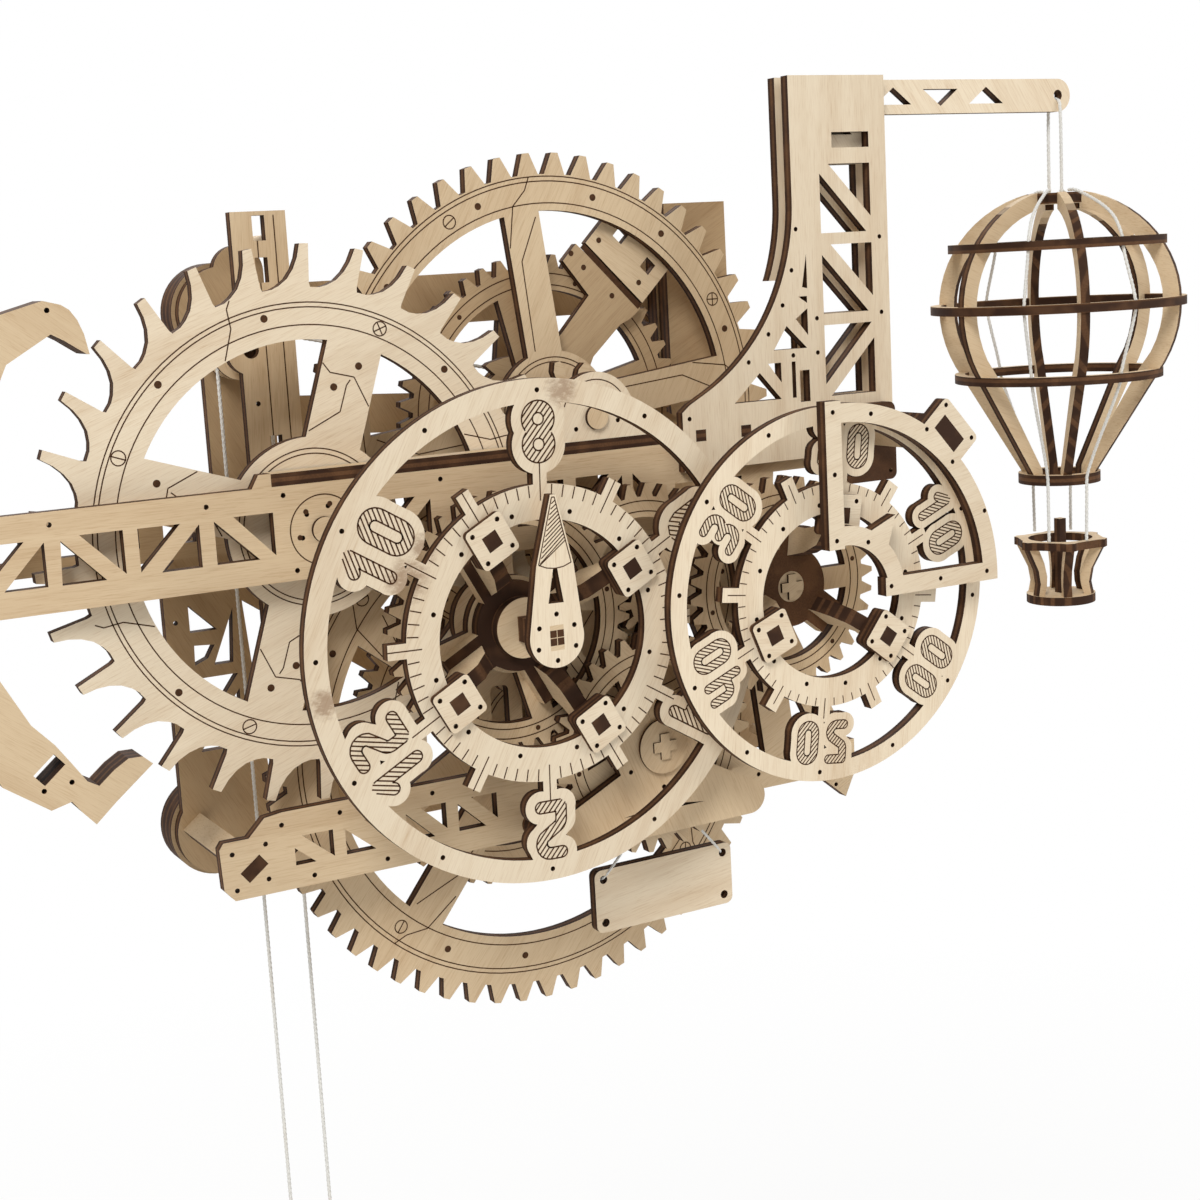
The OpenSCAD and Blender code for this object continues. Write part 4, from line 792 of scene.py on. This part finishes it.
class Engraver:
    def __init__(self, name, centre, face, body):
        self.name = name
        self.body = body
        self.base = Matrix.Translation((centre.x, face, centre.z)) @ Matrix.Scale(MM, 4)
        self.turn(0)
        self.shape = bmesh.new()

    def turn(self, angle):
        """Later marks are turned anticlockwise by angle about the centre, seen from the front."""
        self.place = Matrix.Rotation(math.radians(-angle), 4, "Y")

    def block(self, centre, length, width, angle=0):
        """A flat strip about its middle, turned by angle."""
        strip = (self.place @ Matrix.Translation((centre[0], (SUNK - PROUD) / 2, centre[1]))
                 @ Matrix.Rotation(math.radians(-angle), 4, "Y")
                 @ Matrix.Diagonal((length, PROUD + SUNK, width, 1)))
        bmesh.ops.create_cube(self.shape, size=1, matrix=self.base @ strip)

    def line(self, first, last, width=LINE):
        dx, dz = last[0] - first[0], last[1] - first[1]
        middle = ((first[0] + last[0]) / 2, (first[1] + last[1]) / 2)
        self.block(middle, math.hypot(dx, dz), width, math.degrees(math.atan2(dz, dx)))

    def path(self, points, width=LINE):
        for first, last in zip(points, points[1:]):
            self.line(first, last, width)

    def arc(self, centre, radius, start=0, end=360, width=LINE, step=6):
        """An arc, swept by spin from one small quad about the arc's centre."""
        closed = end - start >= 360
        about = self.base @ self.place @ Matrix.Translation((centre[0], 0, centre[1]))
        lead = about @ Matrix.Rotation(math.radians(-start), 4, "Y") @ Matrix.Translation((radius, 0, 0))
        made = bmesh.ops.create_grid(self.shape, x_segments=1, y_segments=1, size=0.5,
                                     matrix=lead @ Matrix.Diagonal((width, PROUD + SUNK, 1, 1)))
        face = made["verts"][0].link_faces[0]
        steps = max(3, round(abs(end - start) / step))
        axis = (about.to_3x3() @ Vector((0, -1, 0))).normalized()
        swept = [*made["verts"], *face.edges, face]
        bmesh.ops.spin(self.shape, geom=swept, cent=about.translation, axis=axis,
                       angle=math.radians(end - start), steps=steps, use_merge=closed, use_duplicate=False)

    def dot(self, centre, radius):
        about = self.base @ self.place @ Matrix.Translation((centre[0], (SUNK - PROUD) / 2, centre[1]))
        bmesh.ops.create_cone(self.shape, cap_ends=True, segments=16, radius1=radius, radius2=radius,
                              depth=PROUD + SUNK, matrix=about @ Matrix.Rotation(math.radians(90), 4, "X"))

    def finish(self):
        bmesh.ops.recalc_face_normals(self.shape, faces=self.shape.faces)
        piece = add_object(self.name, self.shape)
        piece.data.materials.append(engraved)
        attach(piece, self.body)
        print(self.name, "has", len(piece.data.polygons), "faces")


print("an engraved line is", LINE, "mm wide and stands", PROUD, "mm out of its face")

# %% [markdown]
# The numerals are drawn with one round stroke each, like a stencil. The paths down the middle of the
# strokes are short lists of lines and arcs, in a cell 5.4 by 11.6 mm, for the digits that the dials
# show. A font only has outlines, and the thin lines and the hatching need the middle of the stroke.
# %% Paths of the numerals
HALF_WIDTH, HALF_HEIGHT = 2.72, 5.78


def curve(centre, radius, start, end, steps=8):
    turns = [math.radians(start + (end - start) * i / steps) for i in range(steps + 1)]
    return [(centre[0] + radius * math.cos(t), centre[1] + radius * math.sin(t)) for t in turns]


def digit_paths():
    """For each digit its paths, each a list of points."""
    a, b = HALF_WIDTH, HALF_HEIGHT
    return {
        "0": [curve((0, b - a), a, 0, 180) + curve((0, a - b), a, 180, 360) + [(a, b - a)]],
        "1": [[(0, -b), (0, b), (-2.85, b - 3.1)]],
        "2": [[(-a, b), (0.2, b)] + curve((0.2, b - 2.5), 2.5, 90, -40, 6) +
              curve((-0.2, -2.6), 2.5, 140, 180, 3) + [(-a, -b), (a, -b)]],
        "3": [[(-a, b), (0.3, b)] + curve((0.3, b / 2), b / 2, 90, -90) + [(-0.9, 0)],
              [(0.3, 0)] + curve((0.3, -b / 2), b / 2, 90, -90) + [(-a, -b)]],
        "4": [[(a - 0.1, b), (a - 0.1, -b)], [(-a, b), (-a, 0.6)] + curve((-0.7, 0.6), 2, 180, 270, 4) +
              [(a - 0.1, -1.4)]],
        "5": [[(-a, -b), (0.2, -b)] + curve((0.2, 2.5 - b), 2.5, -90, 40, 6) +
              curve((-0.2, 2.6), 2.5, 220, 180, 3) + [(-a, b), (a, b)]],
        "6": [curve((0, a - b), a, 180, 540), [(-a, a - b), (-a, b - a)] + curve((0, b - a), a, 180, 75, 5)],
        "8": [curve((0, 2.98), 2.85, 0, 360, 24), curve((0, -2.98), 2.85, 0, 360, 24)],
    }


PATHS = digit_paths()
print("numerals:", " ".join(PATHS))

# %% [markdown]
# Round each path runs a thin outline at half the stroke's width, with slanted hatching inside. Where
# strokes meet, the outline of one must not run through the other, so a point of the outline is kept
# only if it isn't well inside any stroke. The same distance test cuts the hatching to shape.
# %% Outline and hatching
STROKE = 2.85
OUTLINE_STEP, BEND_STEP, END_STEPS = 0.35, 0.2, 10
WELL_INSIDE = 0.9
HATCH_PITCH, HATCH_ANGLE = 1.08, 50
HATCH_LINES, HATCH_STEPS, HATCH_STEP = 9, 90, 0.1
SHORTEST_HATCH = 0.5


def segments_of(paths):
    return [pair for path in paths for pair in zip(path, path[1:])]


def distance_to(point, segments):
    """The distance from a point to the nearest of the segments."""
    best = math.inf
    for (ax, az), (bx, bz) in segments:
        dx, dz = bx - ax, bz - az
        size = dx * dx + dz * dz
        t = 0 if size == 0 else max(0, min(1, ((point[0] - ax) * dx + (point[1] - az) * dz) / size))
        best = min(best, math.hypot(point[0] - ax - t * dx, point[1] - az - t * dz))
    return best


def dense_path(path):
    """The path with its points about a step apart."""
    dense = [path[0]]
    for first, last in zip(path, path[1:]):
        parts = max(1, round(math.dist(first, last) / OUTLINE_STEP))
        dense += [(first[0] + (last[0] - first[0]) * i / parts, first[1] + (last[1] - first[1]) * i / parts)
                  for i in range(1, parts + 1)]
    return dense


def beside(point, half, heading):
    """The place that lies half a stroke from a point in a direction."""
    return (point[0] + half * math.cos(heading), point[1] + half * math.sin(heading))


def side_of_path(dense, headings, half, side):
    """Points on one side of a path, with an arc round each bend, and the last point's direction."""
    points, before = [], None
    for i in range(len(dense))[::side]:
        heading = headings[i] + side * math.pi / 2
        swing = [heading]
        if before is not None:
            gap = (heading - before + math.pi) % (2 * math.pi) - math.pi
            count = max(1, round(abs(gap) / BEND_STEP))
            swing = [before + gap * k / count for k in range(1, count + 1)]
        points += [beside(dense[i], half, direction) for direction in swing]
        before = heading
    return points, before


def loops_round(path, half):
    """Both sides of a closed path, or one loop with round ends about an open one."""
    dense = dense_path(path)
    closed = math.dist(path[0], path[-1]) < 1e-6
    headings = [math.atan2(q[1] - p[1], q[0] - p[0]) for p, q in zip(dense, dense[1:])]
    headings.append(headings[0] if closed else headings[-1])
    sides = []
    for side, end in ((1, dense[-1]), (-1, dense[0])):
        points, direction = side_of_path(dense, headings, half, side)
        if not closed:
            turns = [direction - math.pi * k / END_STEPS for k in range(1, END_STEPS + 1)]
            points += [beside(end, half, turn) for turn in turns]
        sides.append(points)
    return sides if closed else [sides[0] + sides[1] + sides[0][:1]]


def outline_runs(paths, half):
    """What is left of the loops outside of all strokes, as runs of points."""
    segments = segments_of(paths)
    kept = []
    for loop in [loop for path in paths for loop in loops_round(path, half)]:
        run = []
        for point in loop:
            if distance_to(point, segments) > WELL_INSIDE * half:
                run.append(point)
            else:
                kept.append(run)
                run = []
        kept.append(run)
    return [run for run in kept if len(run) > 1]


def hatch_runs(paths, half):
    """Slanted lines inside the stroke, as pairs of ends."""
    segments = segments_of(paths)
    slant = math.radians(HATCH_ANGLE)
    along, across = (math.cos(slant), math.sin(slant)), (-math.sin(slant), math.cos(slant))
    runs = []
    for k in range(-HATCH_LINES, HATCH_LINES + 1):
        start, previous = None, None
        for i in range(-HATCH_STEPS, HATCH_STEPS + 1):
            s, t = i * HATCH_STEP, k * HATCH_PITCH
            point = (along[0] * s + across[0] * t, along[1] * s + across[1] * t)
            inside = distance_to(point, segments) < half
            if inside and start is None:
                start = point
            if not inside and start is not None:
                runs.append((start, previous))
                start = None
            previous = point
    return [run for run in runs if math.dist(*run) > SHORTEST_HATCH]


def draw_digit(pen, digit, angle, place, scale=1.0, line=LINE):
    """A digit upright at place, turned with the place about the pen's centre."""

    def placed(point):
        return (place[0] + point[0] * scale, place[1] + point[1] * scale)

    pen.turn(angle)
    for run in outline_runs(PATHS[digit], STROKE / 2):
        pen.path([placed(point) for point in run], line)
    for first, last in hatch_runs(PATHS[digit], STROKE / 2):
        pen.line(placed(first), placed(last), line)


print("an 8 has", len(outline_runs(PATHS["8"], STROKE / 2)), "outlines and",
      len(hatch_runs(PATHS["8"], STROKE / 2)), "lines of hatching")

# %% [markdown]
# The hour dial has six numerals with their tops outwards, two hours apart, a tick every five degrees
# on the outer half of the inner ring, and a longer one on each neck. The minute dial is the same in
# small, with a tick for each minute. The dials were turned a little when the clock was set, so all
# of it is drawn about the same starting angle as the plate.
# %% Engraving of the dials
HOUR_TURN, MINUTE_TURN = -1.72, -7.44
HOUR_NUMERALS, MINUTE_NUMERALS = ("8", "10", "12", "2", "4", "6"), ("20", "30", "40", "50", "00", "10")
HOUR_NUMERAL_R, HOUR_SPACING = 47.65, 8.7
MINUTE_NUMERAL_R, MINUTE_SPACING, MINUTE_SCALE = 37.5, 8.8, 0.77


def engrave_hour_dial():
    pen = Engraver("hour_engraving", hour_axis, front_of("hour_dial"), "hour")
    for k, text in enumerate(HOUR_NUMERALS):
        places = [0] if len(text) == 1 else [-HOUR_SPACING / 2, HOUR_SPACING / 2]
        for x, digit in zip(places, text):
            draw_digit(pen, digit, HOUR_TURN + 60 * k, (x, HOUR_NUMERAL_R))
    for k in range(72):
        pen.turn(HOUR_TURN + 5 * k)
        inner, outer = (31.6, 40.4) if k % 6 == 0 else (32.5, 35.4)
        pen.line((0, inner), (0, outer), THIN)
    pen.finish()


def engrave_minute_dial():
    pen = Engraver("minute_engraving", minute_axis, front_of("minute_dial"), "minute")
    for k, text in enumerate(MINUTE_NUMERALS):
        for x, digit in zip([-MINUTE_SPACING / 2, MINUTE_SPACING / 2], text):
            draw_digit(pen, digit, MINUTE_TURN + 60 * k, (x, MINUTE_NUMERAL_R), MINUTE_SCALE, THIN)
    for k in range(60):
        pen.turn(MINUTE_TURN + 6 * k)
        inner, outer = (26.2, 31.4) if k % 5 == 0 else (26.2, 28.2)
        pen.line((0, inner), (0, outer), FINE)
    pen.finish()


engrave_hour_dial()
engrave_minute_dial()

# %% [markdown]
# The wheels carry thin decorative lines: pairs of circles inside the teeth and round the hub, small
# round screw marks with a slot or a cross, and on the escape wheel angled lines that look like the
# joints of riveted plates. They repeat four times round a wheel, so they are drawn once in polar
# coordinates, as a radius and an angle from a spoke, and turned.
# %% Lines on the wheels
ESCAPE_SPOKE, TOP_SPOKE, DRIVE_SPOKE = 72, 7, 52
SCREW_R, RIVET_R, SMALL_RIVET_R = 1.7, 0.9, 0.65


def polar(radius, angle):
    return (radius * math.cos(math.radians(angle)), radius * math.sin(math.radians(angle)))


def draw_rings(pen, radii):
    for radius in radii:
        pen.arc((0, 0), radius, width=THIN, step=3)


def draw_screw(pen, place, slot, cross=False):
    pen.arc(place, SCREW_R, width=THIN, step=20)
    for extra in ((0, 90) if cross else (0,)):
        pen.block(place, 2 * SCREW_R, THIN, slot + extra)


def draw_rivets(pen, radius, angles):
    for angle in angles:
        pen.dot(polar(radius, angle), RIVET_R)


def draw_route(pen, spoke, route):
    """A line through points that each have a radius and an angle from the spoke."""
    pen.path([polar(radius, spoke + angle) for radius, angle in route], THIN)


def wheel_pen(node, joint, body):
    return Engraver(node + "_engraving", axis_of[joint], front_of(node), body)


def engrave_escape_wheel():
    pen = wheel_pen("escape_wheel", "escape_turn", "escape")
    draw_rings(pen, (17.5, 18.7, 47.6, 51.7, 52.8))
    for k in range(4):
        spoke = ESCAPE_SPOKE + 90 * k
        draw_route(pen, spoke, [(38.8, 10.3), (36.7, 7.2), (36.8, -2.4), (31.6, -12.4)])
        draw_route(pen, spoke, [(35.9, -1.2), (34.4, -0.2), (28, 0), (22.8, 17)])
        draw_route(pen, -161 + 90 * k, [(56.5, -2.3), (54.9, -0.9), (50.4, 0), (44.5, 5.4)])
        draw_rivets(pen, 39.6, [spoke - 3])
        draw_rivets(pen, 33.4, [spoke + 5])
        draw_rivets(pen, 50.2, [spoke + 27.5, spoke + 61.5])
    for angle, slot, cross in ((65.9, 20, True), (155.3, -20, False), (-114, 15, False), (-24, 60, True)):
        draw_screw(pen, polar(49.7, angle), slot, cross)
    pen.finish()


def engrave_top_wheel():
    pen = wheel_pen("top_wheel", "top_turn", "top")
    draw_rings(pen, (13.4, 14.6, 53.9, 59.4, 60.6))
    for k in range(4):
        spoke = TOP_SPOKE + 90 * k
        draw_route(pen, spoke, [(60.6, -3.5), (57.4, -2), (54, 2.2), (44, 6.2)])
        draw_route(pen, spoke, [(50.5, -4.4), (40, 3), (17, 9)])
        draw_screw(pen, polar(56.7, spoke + 21), 40 * k, cross=k % 2 == 0)
        draw_rivets(pen, 56.7, [spoke + 12, spoke + 45, spoke + 68])
    pen.finish()


def engrave_drive_wheel():
    pen = wheel_pen("drive_wheel", "drive_turn", "drive")
    draw_rings(pen, (13.2, 14.4, 57.2, 63.6, 64.8))
    for k in range(4):
        spoke = DRIVE_SPOKE + 90 * k
        draw_route(pen, spoke, [(64.8, -3.5), (61.4, -2), (57.4, 2.2), (47, 5.8)])
        draw_route(pen, spoke, [(53.5, -4.4), (42, 3), (17, 9)])
        draw_screw(pen, polar(60.4, spoke + 85.5), 25 + 30 * k)
        draw_rivets(pen, 60.4, [spoke + 10, spoke + 32, spoke + 60])
    pen.finish()


def engrave_small_wheels():
    for node, joint, body, radii, dots in (
            ("drive_transfer", "drive_turn", "drive", (35.5, 38.8), 8),
            ("winding_wheel", "winding_turn", "winding", (33.3, 36.2), 12),
            ("hour_wheel", "hour_turn", "hour", (26, 28.4), 8),
            ("idler_wheel", "idler_turn", "idler", (23, 25.6), 6),
            ("minute_wheel", "minute_turn", "minute", (21.4, 23.8), 6),
            ("centre_gear", "centre_turn", "centre", (21.4, 23.8), 8)):
        pen = wheel_pen(node, joint, body)
        draw_rings(pen, radii)
        for k in range(dots):
            pen.dot(polar(sum(radii) / 2, 11 + 360 / dots * k), SMALL_RIVET_R)
        pen.finish()


engrave_escape_wheel()
engrave_top_wheel()
engrave_drive_wheel()
engrave_small_wheels()

# %% [markdown]
# The fixed plates have fewer marks: two long lines on the column, a round bearing plate drawn on the
# beam, an arc on the top bearing, and a hatched half on the hour pointer. Each plate is one sheet, so
# its marks share one pen, which starts at the hour dial's centre.
# %% Lines on the fixed plates
POINTER_LOW, POINTER_TIP = (4.25, 17.4), (0.35, 32.9)
POINTER_HATCHES, POINTER_PITCH = 17, 1.25


def plate_pen(name, node):
    return Engraver(name, hour_axis, front_of(node), "frame")


def place_of(joint):
    """Where a joint's axis stands, in millimetres from the hour dial's centre."""
    return (axis_of[joint].x - hour_axis.x) / MM, (axis_of[joint].z - hour_axis.z) / MM


def pointer_half(height):
    """Half of the pointer's width at a height above its middle."""
    share = (height - POINTER_LOW[1]) / (POINTER_TIP[1] - POINTER_LOW[1])
    return POINTER_LOW[0] + (POINTER_TIP[0] - POINTER_LOW[0]) * share


def engrave_pointer():
    """Hatching from the pointer's middle to its tip, and the post's dark end in its window."""
    pen = plate_pen("pointer_engraving", "hour_pointer")
    pen.turn(HOUR_TURN)
    left_low, left_tip = (-POINTER_LOW[0], POINTER_LOW[1]), (-POINTER_TIP[0], POINTER_TIP[1])
    pen.path([left_low, left_tip, POINTER_TIP, POINTER_LOW], FINE)
    pen.path([POINTER_LOW, (2.2, 16.6), (0, 16.3), (-2.2, 16.6), left_low], FINE)
    for k in range(POINTER_HATCHES):
        low = POINTER_LOW[1] - 1 + k * POINTER_PITCH
        reach = max(0.2, pointer_half(min(32.5, low + 1.4)))
        top = low + 1.5 * reach
        if top < POINTER_TIP[1]:
            start = max(POINTER_LOW[1], low)
            pen.line((-min(reach, pointer_half(start) - 0.1), max(17.2, low)),
                     (min(reach, pointer_half(min(POINTER_TIP[1], low + 1.6 * reach))), top), FINE)
    pen.turn(0)
    for x, z in ((-0.95, -0.95), (-0.95, 0.95), (0.95, -0.95), (0.95, 0.95)):
        pen.block((x, z), 1.7, 1.7)
    pen.finish()


def engrave_column():
    """Two upright lines, the left one with gaps."""
    pen = plate_pen("column_engraving", "left_column")
    for x, gaps in ((-43.2, (88, 98, 45, 6, -44)), (-38.7, ())):
        heights = [-59] + sorted(h + s for h in gaps for s in (-3, 3)) + [101]
        for low, high in zip(heights[::2], heights[1::2]):
            pen.line((x, low), (x, high), THIN)
    pen.finish()


def engrave_beams():
    pen = plate_pen("beam_engraving", "upper_beam")
    centre = place_of("escape_turn")
    pen.arc(centre, 8.3, width=THIN)
    for k in range(6):
        x, z = polar(6.2, 12 + 60 * k)
        pen.dot((centre[0] + x, centre[1] + z), SMALL_RIVET_R)
    pen.finish()
    pen = plate_pen("bearing_engraving", "top_bearing")
    pen.arc(place_of("top_turn"), 9.4, 20, 160, THIN)
    pen.finish()


engrave_pointer()
engrave_column()
engrave_beams()
print("the escape wheel's bearing is at", [round(value, 2) for value in place_of("escape_turn")], "mm")

# %% [markdown]
# Behind the top wheel a bracket of two plates holds the far end of its axle, and only its corner
# shows between the spokes. It is drawn as an outline with holes, filled with triangles, and given the
# sheet's thickness by an extrusion, as the laser cuts it out of one sheet.
# %% The bracket behind the top wheel
def cut_sheet(name, outline, holes, front, thick, angle, seed, tone):
    """A sheet of the frame with an outline and holes, in millimetres as seen from the front."""
    shape = bmesh.new()
    for loop in [outline] + holes:
        verts = [shape.verts.new(at(x, front, z)) for x, z in loop]
        for first, last in zip(verts, verts[1:] + verts[:1]):
            shape.edges.new((first, last))
    bmesh.ops.triangle_fill(shape, use_beauty=True, edges=list(shape.edges))
    grown = bmesh.ops.extrude_face_region(shape, geom=list(shape.faces))["geom"]
    bmesh.ops.translate(shape, vec=(0, thick * MM, 0),
                        verts=[part for part in grown if isinstance(part, bmesh.types.BMVert)])
    bmesh.ops.recalc_face_normals(shape, faces=shape.faces)
    piece = add_object(name, shape)
    piece.data.materials.append(make_plywood("plywood_" + name, tone, angle, at(0, front, 0).y, seed=seed))
    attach(piece, "frame")
    print(name, "has", len(piece.data.polygons), "faces")


def ring_points(centre, radius, start=0, end=360, steps=24):
    """Points of an arc; a full ring leaves out its last point, which is the first one."""
    full = end - start >= 360
    return curve(centre, radius, start, end, steps)[:-1 if full else None]


def square_at(centre, width, angle):
    """Corners of a turned square."""
    return curve(centre, width / math.sqrt(2), angle - 135, angle + 135, 3)


BRACKET_FRONT, BRACKET_THICK = 52.3, 2.4
BRACKET_RIVET_R, SEAM_WIDTH = 0.75, 1.6
top_middle = place_of("top_turn")
bracket_outline = [(38.5, 86.2), (42.6, 90.4), (61.2, 72.6), (58.2, 70.2), (54.6, 68.6), (46, 60.8)]
bracket_outline += ring_points(top_middle, 12.2, 30, -210, 24)
bracket_outline += [(37.3, 67.9), (45.6, 76.9)]
# The bracket lies behind the top wheel, so it gets the tone of painted deep shade; its cover the half-shaded
# tone.
cut_sheet("top_bracket", bracket_outline, [ring_points(top_middle, 7.6)], BRACKET_FRONT, BRACKET_THICK,
          40, 71, DEEP_SHADE_TONE)
cover_outline = [(61.8, 74), (73.8, 85.8), (57.5, 102.5), (45.5, 90.5)]
cover_holes = [square_at((56.2, 92), 3.4, -45), square_at((64, 83.6), 3.4, -45)]
cut_sheet("bracket_cover", cover_outline, cover_holes, BRACKET_FRONT, BRACKET_THICK, -35, 72, HALF_SHADE_TONE)
bracket_pen = Engraver("bracket_engraving", hour_axis, at(0, BRACKET_FRONT, 0).y, "frame")
for place in ((49.5, 91), (61, 79.4), (69.6, 84.6), (57.4, 97.2), (44.5, 84.2), (52.6, 76.4), (41, 88)):
    bracket_pen.dot(place, BRACKET_RIVET_R)
bracket_pen.line((44.4, 89.9), (60.9, 73.0), SEAM_WIDTH)
bracket_pen.finish()

print("size of the frame", cad_box)
